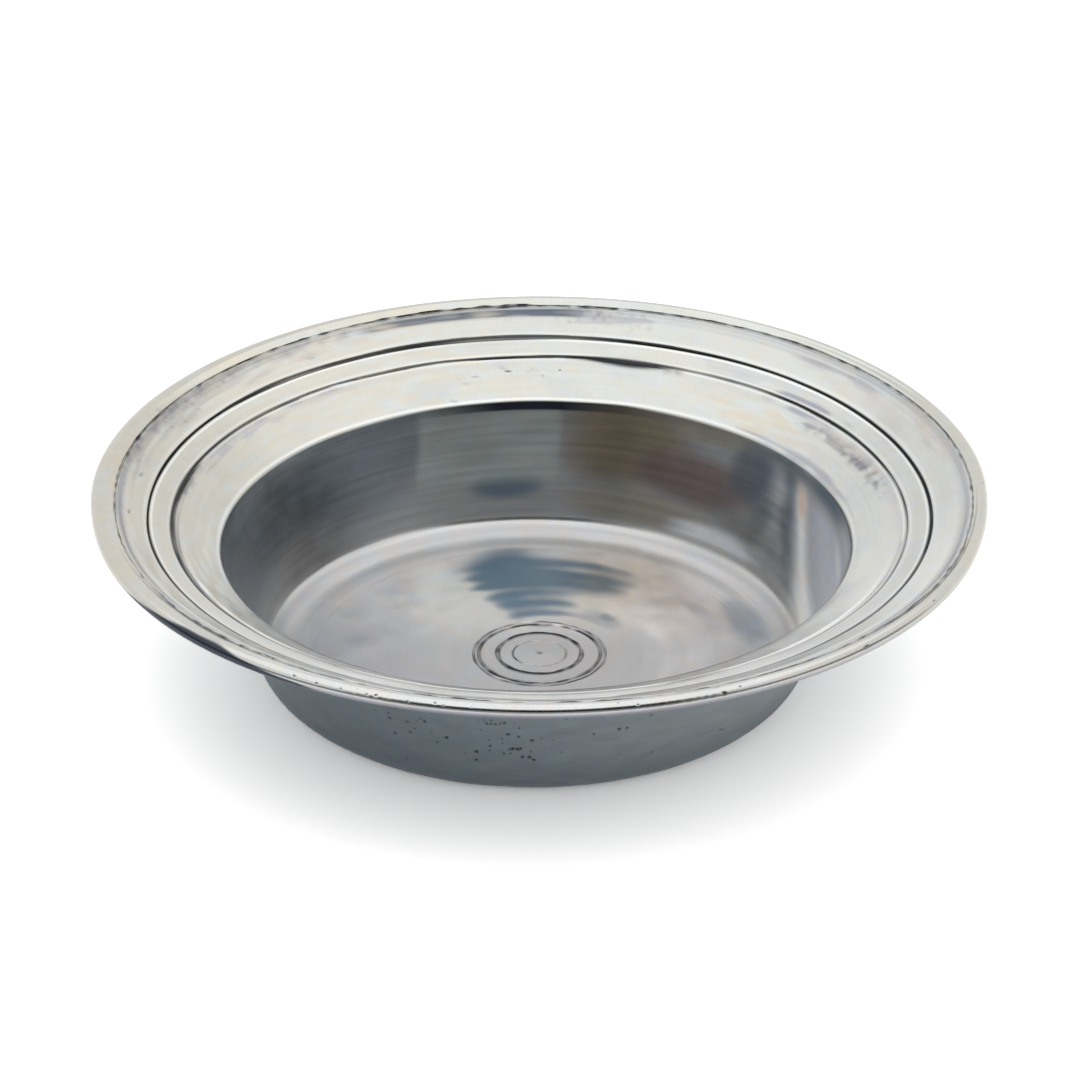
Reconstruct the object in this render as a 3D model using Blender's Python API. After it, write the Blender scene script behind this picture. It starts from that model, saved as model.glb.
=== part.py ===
"""A wide-rimmed pewter bowl: cast and turned rings and discs, soldered edge to edge.

Every piece is turned round the Z axis. An outline is a closed list of (radius, height) points
in the bowl's own frame, with the table at height 0. It runs down its outer side.
"""

import math

import bmesh
import bpy

# Overall sizes, in metres
RIM_DIAMETER = 0.300
HEIGHT = 0.0665

# The moulding round the edge
BEAD_WIDTH = 0.0058
BEAD_THICKNESS = 0.0048
BEAD_SHOULDER = math.radians(165.0)

# The sloping rim, band by band from the edge inwards
FLANGE_THICKNESS = 0.0028
OUTER_BAND_WIDTH = 0.0115
OUTER_BAND_FALL = 0.0061
MIDDLE_BAND_WIDTH = 0.0079
MIDDLE_BAND_FALL = 0.0029
INNER_BAND_WIDTH = 0.0173
INNER_BAND_FALL = 0.0085
EDGE_COVE_WIDTH = 0.0028
EDGE_COVE_DEPTH = 0.0004
OUTER_GROOVE_WIDTH = 0.0011
OUTER_GROOVE_DEPTH = 0.0006
INNER_GROOVE_WIDTH = 0.0010
INNER_GROOVE_DEPTH = 0.0005
RIDGE_WIDTH = 0.0010
RIDGE_HEIGHT = 0.0002
RIDGE_COVE_WIDTH = 0.0022
RIDGE_COVE_DEPTH = 0.0004
LIP_RADIUS = 0.0026
UNDER_RIM_RADIUS = 0.0020
COLLAR_DEPTH = 0.0020

# The well below the rim
WALL_THICKNESS = 0.0028
WALL_LEAN = math.radians(21.5)
COVE_RADIUS = 0.0120
CORNER_RADIUS = 0.0130
FLOOR_THICKNESS = 0.0024
FLOOR_RECESS = 0.0008
RECESS_SLOPE = 0.0008
COVE_MARGIN = 0.0010
REST_WIDTH = 0.0030

# The turned rings in the middle of the floor
PLUG_DIAMETER = 0.0284
PLUG_CROWN = 0.0003
PLUG_RING_DIAMETER = 0.0180
INNER_RING_DIAMETER = 0.0412
OUTER_RING_DIAMETER = 0.0446
RING_WIDTH = 0.0010
RING_DEPTH = 0.0003
CENTRE_DOT_DIAMETER = 0.0014
CENTRE_DOT_DEPTH = 0.0004

# The soldered seams, each a V between two pieces that meet in a narrow butt joint
SEAM_WIDTH = 0.0022
SEAM_SINK = 0.0003
BUTT_DEPTH = 0.0008
GAP = 0.0003

# How finely the round shapes are cut
TURN_STEPS = 56
BEAD_STEPS = 16
CORNER_STEPS = 8
LIP_STEPS = 5
UNDER_RIM_STEPS = 4
HOLLOW_STEPS = 4
SHARP_ANGLE = math.radians(28.0)

# Radii and heights that several pieces share
RIM_RADIUS = RIM_DIAMETER / 2
BEAD_CENTRE = (RIM_RADIUS - BEAD_WIDTH / 2, HEIGHT - BEAD_THICKNESS / 2)
FLOOR_TOP = FLOOR_RECESS + FLOOR_THICKNESS
UP_WALL = (math.sin(WALL_LEAN), math.cos(WALL_LEAN))
OUT_OF_WALL = (math.cos(WALL_LEAN), -math.sin(WALL_LEAN))


def moved(point, direction, distance):
    """The point, moved along a unit direction."""
    return (point[0] + direction[0] * distance, point[1] + direction[1] * distance)


def between(start, end, share):
    """The point that lies this share of the way from start to end."""
    return (start[0] + (end[0] - start[0]) * share, start[1] + (end[1] - start[1]) * share)


def unit(start, end):
    """The unit direction from start to end."""
    length = math.dist(start, end)
    return ((end[0] - start[0]) / length, (end[1] - start[1]) / length)


def arc(centre, radii, start, end, steps):
    """Points on an arc or an oval, from one angle to another."""
    turns = [start + (end - start) * step / steps for step in range(steps + 1)]
    return [(centre[0] + radii[0] * math.cos(turn), centre[1] + radii[1] * math.sin(turn)) for turn in turns]


def rounded(before, corner, after, radius, steps):
    """An arc that rounds a corner and meets both its sides smoothly."""
    to_before = unit(corner, before)
    to_after = unit(corner, after)
    half = math.acos(to_before[0] * to_after[0] + to_before[1] * to_after[1]) / 2
    reach = min(radius / math.tan(half), math.dist(corner, before), math.dist(corner, after))
    radius = reach * math.tan(half)
    middle = unit((0, 0), (to_before[0] + to_after[0], to_before[1] + to_after[1]))
    centre = moved(corner, middle, radius / math.sin(half))
    first = unit(centre, moved(corner, to_before, reach))
    last = unit(centre, moved(corner, to_after, reach))
    start = math.atan2(first[1], first[0])
    sweep = math.atan2(first[0] * last[1] - first[1] * last[0], first[0] * last[0] + first[1] * last[1])
    return arc(centre, (radius, radius), start, start + sweep, steps)


def hollow(start, end, depth, steps):
    """Points inside a shallow channel between two points of a surface, without its ends."""
    along = unit(start, end)
    into = (along[1], -along[0]) if along[0] > 0 else (-along[1], along[0])
    shares = [step / steps for step in range(1, steps)]
    return [moved(between(start, end, share), into, depth * math.sin(math.pi * share)) for share in shares]


def below(point, slope, distance):
    """The point straight under a sloping surface, where a sheet of this thickness ends."""
    return (point[0], point[1] - distance / math.cos(slope))


class Seam:
    """A soldered seam between two sheets: a V that opens at a surface point, over a butt joint."""

    def __init__(self, mouth, along, into, thickness):
        self.mouth = mouth
        self.along = along
        self.into = into
        self.thickness = thickness
        self.depth = thickness - BUTT_DEPTH

    def point(self, sideways, inwards):
        return moved(moved(self.mouth, self.along, sideways), self.into, inwards)

    def edge(self, side):
        """The V's edge at the surface, on the side that along points to (1) or the other (-1)."""
        return self.point(side * SEAM_WIDTH / 2, 0)

    def foot(self, side):
        """Where this side of the V ends and the butt joint starts, half a gap from its middle."""
        return self.point(side * GAP / 2, self.depth)

    def back(self, side):
        """Where the butt joint comes out on the far face of the sheets."""
        return self.point(side * GAP / 2, self.thickness)

    def solder(self):
        """The ring of solder's triangle, sunk a little and clear of both sides of the V."""
        half_angle = math.atan2(SEAM_WIDTH / 2, self.depth)
        tip = self.depth - GAP / math.sin(half_angle)
        half_width = (tip - SEAM_SINK) * math.tan(half_angle)
        return [self.point(half_width, SEAM_SINK), self.point(0, tip), self.point(-half_width, SEAM_SINK)]


# The rim's top surface, from the edge moulding in to the lip of the well
BEAD_INNER_EDGE = (
    BEAD_CENTRE[0] + BEAD_WIDTH / 2 * math.cos(BEAD_SHOULDER),
    BEAD_CENTRE[1] + BEAD_THICKNESS / 2 * math.sin(BEAD_SHOULDER),
)
FLANGE_EDGE = (BEAD_INNER_EDGE[0] - SEAM_WIDTH, BEAD_INNER_EDGE[1])
OUTER_GROOVE = (FLANGE_EDGE[0] - OUTER_BAND_WIDTH, FLANGE_EDGE[1] - OUTER_BAND_FALL)
INNER_GROOVE = (OUTER_GROOVE[0] - MIDDLE_BAND_WIDTH, OUTER_GROOVE[1] - MIDDLE_BAND_FALL)
LIP = (INNER_GROOVE[0] - INNER_BAND_WIDTH, INNER_GROOVE[1] - INNER_BAND_FALL)
OUTER_SLOPE = math.atan2(OUTER_BAND_FALL, OUTER_BAND_WIDTH)
INNER_SLOPE = math.atan2(INNER_BAND_FALL, INNER_BAND_WIDTH)


def inner_wall(height):
    """The point of the well's inner surface at this height."""
    return (LIP[0] - (LIP[1] - height) * math.tan(WALL_LEAN), height)


def outer_wall(height):
    """The point of the well's outer surface at this height."""
    inner = inner_wall(height)
    return (inner[0] + WALL_THICKNESS / math.cos(WALL_LEAN), height)


def fillet_centre(wall_point, radius):
    """The centre of the round between the wall and a level floor, level with wall_point."""
    return (wall_point[0] - radius / math.cos(WALL_LEAN), wall_point[1])


OUTER_UNDER = below(OUTER_GROOVE, OUTER_SLOPE, FLANGE_THICKNESS)
INNER_UNDER = below(INNER_GROOVE, INNER_SLOPE, FLANGE_THICKNESS)


def under_rim_corner():
    """Where the rim's underside would meet the well's outer surface."""
    across = outer_wall(INNER_UNDER[1])[0] - INNER_UNDER[0]
    reach = across / (1 - math.tan(INNER_SLOPE) * math.tan(WALL_LEAN))
    return (INNER_UNDER[0] + reach, INNER_UNDER[1] + reach * math.tan(INNER_SLOPE))


UNDER_CORNER = under_rim_corner()
COVE_CENTRE = fillet_centre(inner_wall(FLOOR_TOP + COVE_RADIUS), COVE_RADIUS)
CORNER_CENTRE = fillet_centre(outer_wall(CORNER_RADIUS), CORNER_RADIUS)
REST_INNER_RADIUS = min(CORNER_CENTRE[0], COVE_CENTRE[0]) - REST_WIDTH
FLOOR_RADIUS = REST_INNER_RADIUS - RECESS_SLOPE - COVE_MARGIN - SEAM_WIDTH / 2
COLLAR_END = moved(UNDER_CORNER, UP_WALL, -COLLAR_DEPTH - SEAM_WIDTH / 2)

BEAD_SEAM = Seam((BEAD_INNER_EDGE[0] - SEAM_WIDTH / 2, BEAD_INNER_EDGE[1]), (1, 0), (0, -1), FLANGE_THICKNESS)
LIP_SEAM = Seam(COLLAR_END, UP_WALL, (-OUT_OF_WALL[0], -OUT_OF_WALL[1]), WALL_THICKNESS)
FLOOR_SEAM = Seam((FLOOR_RADIUS, FLOOR_RECESS), (1, 0), (0, 1), FLOOR_THICKNESS)
PLUG_SEAM = Seam((PLUG_DIAMETER / 2, FLOOR_TOP), (1, 0), (0, -1), FLOOR_THICKNESS)


def groove(middle, slope, width, depth):
    """A V cut into a surface that falls inwards at this slope, as three points from the inside out."""
    outwards = (math.cos(slope), math.sin(slope))
    down = (math.sin(slope), -math.cos(slope))
    inner = moved(middle, outwards, -width / 2)
    outer = moved(middle, outwards, width / 2)
    return [inner, moved(middle, down, depth), outer]


def edge_bead():
    """The oval moulding that stiffens the rim's edge."""
    radii = (BEAD_WIDTH / 2, BEAD_THICKNESS / 2)
    oval = arc(BEAD_CENTRE, radii, BEAD_SHOULDER, -math.pi / 2, BEAD_STEPS)
    return oval + [BEAD_SEAM.back(1), BEAD_SEAM.foot(1)]


def rim_flange():
    """The sloping rim with its turned grooves, down to a short collar at the lip."""
    outline = [BEAD_SEAM.edge(-1), BEAD_SEAM.foot(-1), BEAD_SEAM.back(-1), OUTER_UNDER, INNER_UNDER]
    outline += rounded(INNER_UNDER, UNDER_CORNER, LIP_SEAM.edge(1), UNDER_RIM_RADIUS, UNDER_RIM_STEPS)
    outline += [LIP_SEAM.edge(1), LIP_SEAM.foot(1), LIP_SEAM.back(1)]

    outward = (math.cos(INNER_SLOPE), math.sin(INNER_SLOPE))
    ridge_inner = moved(INNER_GROOVE, outward, -INNER_GROOVE_WIDTH / 2 - RIDGE_WIDTH)
    cove_inner = moved(ridge_inner, outward, -RIDGE_COVE_WIDTH)
    outline += rounded(LIP_SEAM.back(1), LIP, cove_inner, LIP_RADIUS, LIP_STEPS)
    outline += [cove_inner] + hollow(cove_inner, ridge_inner, RIDGE_COVE_DEPTH, HOLLOW_STEPS) + [ridge_inner]
    ridge_top = moved(ridge_inner, outward, RIDGE_WIDTH / 2)
    outline.append((ridge_top[0], ridge_top[1] + RIDGE_HEIGHT))
    outline += groove(INNER_GROOVE, INNER_SLOPE, INNER_GROOVE_WIDTH, INNER_GROOVE_DEPTH)
    outline += groove(OUTER_GROOVE, OUTER_SLOPE, OUTER_GROOVE_WIDTH, OUTER_GROOVE_DEPTH)
    cove_start = moved(BEAD_SEAM.edge(-1), (-math.cos(OUTER_SLOPE), -math.sin(OUTER_SLOPE)), EDGE_COVE_WIDTH)
    outline += [cove_start] + hollow(cove_start, BEAD_SEAM.edge(-1), EDGE_COVE_DEPTH, HOLLOW_STEPS)
    return outline


def well_wall():
    """The leaning wall with the cove inside, the round corner outside and the ring it rests on."""
    corner = arc(CORNER_CENTRE, (CORNER_RADIUS, CORNER_RADIUS), -WALL_LEAN, -math.pi / 2, CORNER_STEPS)
    cove = arc(COVE_CENTRE, (COVE_RADIUS, COVE_RADIUS), -math.pi / 2, -WALL_LEAN, CORNER_STEPS)
    outline = [LIP_SEAM.edge(-1)] + corner
    outline += [(REST_INNER_RADIUS, 0), (REST_INNER_RADIUS - RECESS_SLOPE, FLOOR_RECESS)]
    outline += [FLOOR_SEAM.edge(1), FLOOR_SEAM.foot(1), FLOOR_SEAM.back(1)]
    return outline + cove + [LIP_SEAM.back(-1), LIP_SEAM.foot(-1)]


def well_floor():
    """The flat disc let into the wall's foot, with a pair of fine turned rings."""
    outline = [FLOOR_SEAM.back(-1), FLOOR_SEAM.foot(-1), FLOOR_SEAM.edge(-1)]
    outline += [PLUG_SEAM.back(1), PLUG_SEAM.foot(1), PLUG_SEAM.edge(1)]
    outline += groove((INNER_RING_DIAMETER / 2, FLOOR_TOP), 0, RING_WIDTH, RING_DEPTH)
    return outline + groove((OUTER_RING_DIAMETER / 2, FLOOR_TOP), 0, RING_WIDTH, RING_DEPTH)


def centre_plug():
    """The slightly crowned disc that fills the middle of the floor, with a ring and a lathe dot."""
    ring_height = FLOOR_TOP + PLUG_CROWN * (1 - PLUG_RING_DIAMETER / PLUG_DIAMETER)
    ring = groove((PLUG_RING_DIAMETER / 2, ring_height), 0, RING_WIDTH, RING_DEPTH)
    top = FLOOR_TOP + PLUG_CROWN
    dot = [(0, top - CENTRE_DOT_DEPTH), (CENTRE_DOT_DIAMETER / 2, top)]
    return dot + ring + [PLUG_SEAM.edge(-1), PLUG_SEAM.foot(-1), PLUG_SEAM.back(-1), (0, FLOOR_RECESS)]


def pewter(name, colour, roughness):
    """A bare metal of one colour and polish."""
    material = bpy.data.materials.new(name)
    material.use_nodes = True
    shader = material.node_tree.nodes["Principled BSDF"]
    shader.inputs["Base Color"].default_value = (*colour, 1)
    shader.inputs["Metallic"].default_value = 1.0
    shader.inputs["Roughness"].default_value = roughness
    return material


def turn(name, outline, level, material, parent):
    """Spins an outline round the axis into one piece, placed at its own level."""
    closed = outline[0][0] > 0
    shape = bmesh.new()
    points = [shape.verts.new((radius, 0, height - level)) for radius, height in outline]
    ends = points[1:] + points[:1] if closed else points[1:]
    edges = [shape.edges.new(pair) for pair in zip(points, ends)]
    bmesh.ops.spin(
        shape,
        geom=points + edges,
        cent=(0, 0, 0),
        axis=(0, 0, 1),
        angle=2 * math.pi,
        steps=TURN_STEPS,
        use_merge=True,
        use_duplicate=False,
    )
    bmesh.ops.remove_doubles(shape, verts=shape.verts[:], dist=1e-6)
    bmesh.ops.recalc_face_normals(shape, faces=shape.faces[:])
    mesh = bpy.data.meshes.new(name)
    shape.to_mesh(mesh)
    shape.free()
    mesh.shade_smooth()
    mesh.set_sharp_from_angle(angle=SHARP_ANGLE)
    mesh.materials.append(material)
    piece = bpy.data.objects.new(name, mesh)
    piece.location = (0, 0, level)
    piece.parent = parent
    bpy.context.collection.objects.link(piece)
    return piece


def build():
    for thing in list(bpy.data.objects):
        bpy.data.objects.remove(thing, do_unlink=True)
    bowl = bpy.data.objects.new("bowl", None)
    bpy.context.collection.objects.link(bowl)

    turn("edge_bead", edge_bead(), BEAD_CENTRE[1], pewter("bead_pewter", (0.72, 0.71, 0.66), 0.26), bowl)
    turn("rim_flange", rim_flange(), LIP[1], pewter("flange_pewter", (0.70, 0.69, 0.65), 0.28), bowl)
    turn("well_wall", well_wall(), 0, pewter("wall_pewter", (0.40, 0.43, 0.45), 0.38), bowl)
    turn("well_floor", well_floor(), FLOOR_RECESS, pewter("floor_pewter", (0.60, 0.60, 0.60), 0.30), bowl)
    turn("centre_plug", centre_plug(), FLOOR_RECESS, pewter("plug_pewter", (0.62, 0.61, 0.60), 0.30), bowl)

    solder = pewter("solder", (0.52, 0.53, 0.53), 0.42)
    seams = {
        "bead_solder": BEAD_SEAM,
        "lip_solder": LIP_SEAM,
        "floor_solder": FLOOR_SEAM,
        "plug_solder": PLUG_SEAM,
    }
    for name, seam in seams.items():
        turn(name, seam.solder(), seam.mouth[1], solder, bowl)


build()
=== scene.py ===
"""The looks of a wide-rimmed pewter bowl: fine turned surfaces, burnished seams, wear and age.

Each piece is turned about the Z axis from an outline of (radius, height) points in millimetres.
An outline runs down its outer side. A relief adds the grooves, pits and waves that the tools and
the casting left, a tone gives the metal its staining and patina along with painted light, shade and
reflections, and warp() adds the bowl's hand-made unevenness to all pieces alike, so that they stay flush.
"""

import math
from dataclasses import dataclass

import bpy
import numpy as np
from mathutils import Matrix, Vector


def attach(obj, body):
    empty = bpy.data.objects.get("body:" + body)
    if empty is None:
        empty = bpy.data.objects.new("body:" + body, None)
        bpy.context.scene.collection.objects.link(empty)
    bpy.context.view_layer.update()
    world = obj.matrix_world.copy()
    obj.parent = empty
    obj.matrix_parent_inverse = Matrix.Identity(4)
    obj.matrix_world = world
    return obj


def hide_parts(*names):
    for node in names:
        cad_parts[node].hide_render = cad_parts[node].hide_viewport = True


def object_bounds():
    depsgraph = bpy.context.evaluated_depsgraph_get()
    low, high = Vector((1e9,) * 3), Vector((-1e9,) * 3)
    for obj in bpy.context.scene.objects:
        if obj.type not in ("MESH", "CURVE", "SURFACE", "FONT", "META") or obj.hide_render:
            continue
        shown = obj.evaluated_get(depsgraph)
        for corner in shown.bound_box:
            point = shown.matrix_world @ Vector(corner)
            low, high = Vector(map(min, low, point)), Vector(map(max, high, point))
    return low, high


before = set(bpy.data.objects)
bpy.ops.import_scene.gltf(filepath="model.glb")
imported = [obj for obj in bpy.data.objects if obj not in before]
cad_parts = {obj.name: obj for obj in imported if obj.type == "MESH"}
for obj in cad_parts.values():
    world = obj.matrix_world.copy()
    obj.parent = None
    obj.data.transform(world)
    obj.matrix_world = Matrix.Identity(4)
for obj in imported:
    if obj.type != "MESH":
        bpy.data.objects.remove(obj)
cad_low, cad_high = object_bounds()

MM = 0.001
RIM_RADIUS = cad_high.x / MM
HEIGHT = cad_high.z / MM

# The rim's section, as in the CAD
BEAD_WIDTH = 5.8
BEAD_THICKNESS = 4.8
BEAD_SHOULDER = math.radians(165.0)
BEAD_CENTRE = (RIM_RADIUS - BEAD_WIDTH / 2, HEIGHT - BEAD_THICKNESS / 2)
FLANGE_THICKNESS = 2.8
OUTER_BAND = (11.5, 6.1)
MIDDLE_BAND = (7.9, 2.9)
INNER_BAND = (17.3, 8.5)
EDGE_COVE = (2.8, 0.4)
RIDGE = (1.0, 0.2)
RIDGE_COVE = (2.2, 0.4)
LIP_ROUND = 2.4
UNDER_RIM_ROUND = 2.0
COLLAR_DEPTH = 2.0

# The well's section, as in the CAD
WALL_THICKNESS = 2.8
WALL_LEAN = math.radians(21.5)
COVE_ROUND = 12.0
CORNER_ROUND = 13.0
FLOOR_THICKNESS = 2.4
FLOOR_RECESS = 0.8
RECESS_SLOPE = 0.8
COVE_MARGIN = 1.0
REST_WIDTH = 3.0
FLOOR_TOP = FLOOR_RECESS + FLOOR_THICKNESS
PLUG_RADIUS = 14.2
PLUG_CROWN = 0.3
PLUG_RING = 9.0
INNER_RING = 20.6
OUTER_RING = 22.3
CENTRE_DOT = 0.7

# The cove is turned tighter just under the wall than by the floor
COVE_TIGHT = 4.0
COVE_WIDE = 14.5
COVE_TURN = math.radians(47.0)

# The soldered seams, as in the CAD
SEAM_WIDTH = 2.2
BUTT_DEPTH = 0.8
GAP = 0.3
SHUT = 0.01

# Edges that turn more sharply than this are shaded as edges
SHARP_ANGLE = math.radians(38.0)
# Where the rim's inner band has most of its smudges
SMUDGED_RADIUS = 117.5
# How rough the metal is: the moulding, the other turned faces, and the solder underneath
BURNISHED = 0.19
SATIN = 0.305
DULL = 0.36


def moved(point, direction, distance):
    return (point[0] + direction[0] * distance, point[1] + direction[1] * distance)


def unit(start, end):
    length = math.dist(start, end)
    return ((end[0] - start[0]) / length, (end[1] - start[1]) / length)


def run(start, end, coarse, fine=None, places=(), reach=1.6):
    """Points from start up to end, closer together near some radii, without the end."""
    share = np.linspace(0, 1, 2001)
    radius = start[0] + (end[0] - start[0]) * share
    spacing = np.full(share.shape, coarse)
    for place in places:
        near = np.exp(-(((radius - place) / reach) ** 4))
        spacing = np.minimum(spacing, coarse + (fine - coarse) * near)
    count = np.concatenate([[0], np.cumsum(math.dist(start, end) * np.diff(share) / spacing[1:])])
    steps = max(1, round(count[-1]))
    picks = np.interp(np.arange(steps) * count[-1] / steps, count, share)
    return [(start[0] + (end[0] - start[0]) * pick, start[1] + (end[1] - start[1]) * pick) for pick in picks]


def arc(centre, radii, start, end, steps):
    turns = [start + (end - start) * step / steps for step in range(steps)]
    return [(centre[0] + radii[0] * math.cos(turn), centre[1] + radii[1] * math.sin(turn)) for turn in turns]


def rounded(before, corner, after, radius, steps):
    """An arc that rounds a corner, and the point where it ends."""
    to_before = unit(corner, before)
    to_after = unit(corner, after)
    half = math.acos(to_before[0] * to_after[0] + to_before[1] * to_after[1]) / 2
    reach = radius / math.tan(half)
    middle = unit((0, 0), (to_before[0] + to_after[0], to_before[1] + to_after[1]))
    centre = moved(corner, middle, radius / math.sin(half))
    first = unit(centre, moved(corner, to_before, reach))
    last = unit(centre, moved(corner, to_after, reach))
    start = math.atan2(first[1], first[0])
    sweep = math.atan2(first[0] * last[1] - first[1] * last[0], first[0] * last[0] + first[1] * last[1])
    return arc(centre, (radius, radius), start, start + sweep, steps), moved(corner, to_after, reach)


# Where the rim's bands and the well's surfaces meet
BEAD_INNER = (
    BEAD_CENTRE[0] + BEAD_WIDTH / 2 * math.cos(BEAD_SHOULDER),
    BEAD_CENTRE[1] + BEAD_THICKNESS / 2 * math.sin(BEAD_SHOULDER),
)
FLANGE_EDGE = (BEAD_INNER[0] - SEAM_WIDTH, BEAD_INNER[1])
OUTER_GROOVE = (FLANGE_EDGE[0] - OUTER_BAND[0], FLANGE_EDGE[1] - OUTER_BAND[1])
INNER_GROOVE = (OUTER_GROOVE[0] - MIDDLE_BAND[0], OUTER_GROOVE[1] - MIDDLE_BAND[1])
LIP = (INNER_GROOVE[0] - INNER_BAND[0], INNER_GROOVE[1] - INNER_BAND[1])
OUTER_SLOPE = math.atan2(OUTER_BAND[1], OUTER_BAND[0])
INNER_SLOPE = math.atan2(INNER_BAND[1], INNER_BAND[0])
UP_WALL = (math.sin(WALL_LEAN), math.cos(WALL_LEAN))
OUT_OF_WALL = (math.cos(WALL_LEAN), -math.sin(WALL_LEAN))


def inner_wall(height):
    return (LIP[0] - (LIP[1] - height) * math.tan(WALL_LEAN), height)


def outer_wall(height):
    return (inner_wall(height)[0] + WALL_THICKNESS / math.cos(WALL_LEAN), height)


OUTER_UNDER = (OUTER_GROOVE[0], OUTER_GROOVE[1] - FLANGE_THICKNESS / math.cos(OUTER_SLOPE))
INNER_UNDER = (INNER_GROOVE[0], INNER_GROOVE[1] - FLANGE_THICKNESS / math.cos(INNER_SLOPE))
under_reach = (outer_wall(INNER_UNDER[1])[0] - INNER_UNDER[0]) / (
    1 - math.tan(INNER_SLOPE) * math.tan(WALL_LEAN)
)
UNDER_CORNER = (INNER_UNDER[0] + under_reach, INNER_UNDER[1] + under_reach * math.tan(INNER_SLOPE))
COVE_CENTRE = (
    inner_wall(FLOOR_TOP + COVE_ROUND)[0] - COVE_ROUND / math.cos(WALL_LEAN),
    FLOOR_TOP + COVE_ROUND,
)
CORNER_CENTRE = (outer_wall(CORNER_ROUND)[0] - CORNER_ROUND / math.cos(WALL_LEAN), CORNER_ROUND)
REST_INNER = min(CORNER_CENTRE[0], COVE_CENTRE[0]) - REST_WIDTH
FLOOR_RADIUS = REST_INNER - RECESS_SLOPE - COVE_MARGIN - SEAM_WIDTH / 2
COLLAR_END = moved(UNDER_CORNER, UP_WALL, -COLLAR_DEPTH - SEAM_WIDTH / 2)


@dataclass
class Seam:
    """A soldered seam between two sheets: a V that opens at a surface point, over a butt joint."""

    mouth: tuple
    along: tuple
    into: tuple
    thickness: float

    @property
    def depth(self):
        return self.thickness - BUTT_DEPTH

    def point(self, sideways, inwards):
        return moved(moved(self.mouth, self.along, sideways), self.into, inwards)

    def edge(self, side):
        return self.point(side * SEAM_WIDTH / 2, 0)

    def foot(self, side):
        return self.point(side * GAP / 2, self.depth)

    def back(self, side):
        """Where the sheets meet on the far side, burnished shut."""
        return self.point(side * SHUT, self.thickness)

    def strip(self, count):
        """The solder that fills the V, feathered a little under both edges."""
        feather, dip = 0.15, 0.05
        half = SEAM_WIDTH / 2
        top = run(self.point(half, 0), self.point(-half, 0), SEAM_WIDTH / count)
        tip = self.point(0, self.depth * 0.8)
        far_edge = [self.point(-half, 0), self.point(-half - feather, dip)]
        return [self.point(half + feather, dip)] + top + far_edge + [tip]


BEAD_SEAM = Seam((BEAD_INNER[0] - SEAM_WIDTH / 2, BEAD_INNER[1]), (1, 0), (0, -1), FLANGE_THICKNESS)
LIP_SEAM = Seam(COLLAR_END, UP_WALL, (-OUT_OF_WALL[0], -OUT_OF_WALL[1]), WALL_THICKNESS)
FLOOR_SEAM = Seam((FLOOR_RADIUS, FLOOR_RECESS), (1, 0), (0, 1), FLOOR_THICKNESS)
PLUG_SEAM = Seam((PLUG_RADIUS, FLOOR_TOP), (1, 0), (0, -1), FLOOR_THICKNESS)


def ease(value, start, end):
    """0 before start, 1 after end, and a smooth rise between them."""
    share = np.clip((value - start) / (end - start), 0, 1)
    return share * share * (3 - 2 * share)


def wrapped(angle):
    """The same angle between -pi and pi."""
    return (angle + math.pi) % (2 * math.pi) - math.pi


def around(angle, base, *lifts):
    """A level that changes round the bowl. Each lift is the place and spread in degrees, and how much."""
    level = np.full(np.shape(angle), float(base))
    for place, spread, lift in lifts:
        level = level + lift * np.exp(-((wrapped(angle - math.radians(place)) / math.radians(spread)) ** 2))
    return np.maximum(level, 0)


def share_around(angle, base, *lifts):
    """The same, held between 0 and 1."""
    return np.clip(around(angle, base, *lifts), 0, 1)


def wobble(angle, seed, first, last, fall=0.5):
    """A random closed curve round the bowl, made of waves from first to last per turn, about 1 high."""
    dice = np.random.default_rng(seed)
    counts = np.arange(first, last + 1)
    heights = dice.normal(size=counts.size) * counts ** -float(fall)
    starts = dice.uniform(0, 2 * math.pi, counts.size)
    total = np.zeros_like(angle)
    for count, height, start in zip(counts, heights, starts):
        total += height * np.cos(count * angle + start)
    return total / math.sqrt(float(np.sum(heights ** 2)) / 2)


def waves(angle, along, seed, count, per_turn, length):
    """Random waves over a turned surface, about 1 high: how many per turn, and how long in mm across it."""
    dice = np.random.default_rng(seed)
    total = np.zeros(np.broadcast(angle, along).shape)
    for _ in range(count):
        turns = int(dice.integers(per_turn[0], per_turn[1] + 1))
        pitch = 2 * math.pi / dice.uniform(*length) * dice.choice((-1, 1))
        total += np.cos(turns * angle + pitch * along + dice.uniform(0, 2 * math.pi))
    return total / math.sqrt(count / 2)


def clouds(radius, angle, seed, count, length):
    """Random clouds over a flat turned surface, about 1 high, with waves of some lengths in mm."""
    dice = np.random.default_rng(seed)
    x, y = radius * np.cos(angle), radius * np.sin(angle)
    total = np.zeros(x.shape)
    for _ in range(count):
        turn = dice.uniform(0, 2 * math.pi)
        pitch = 2 * math.pi / dice.uniform(*length)
        total += np.cos(pitch * (x * math.cos(turn) + y * math.sin(turn)) + dice.uniform(0, 2 * math.pi))
    return total / math.sqrt(count / 2)


def beside(angle, turn, radius, size):
    """The numbers of the rows of points that a small mark of some size can reach."""
    return np.flatnonzero(np.abs(wrapped(angle[:, 0] - turn)) < 3 * size / radius)


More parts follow.
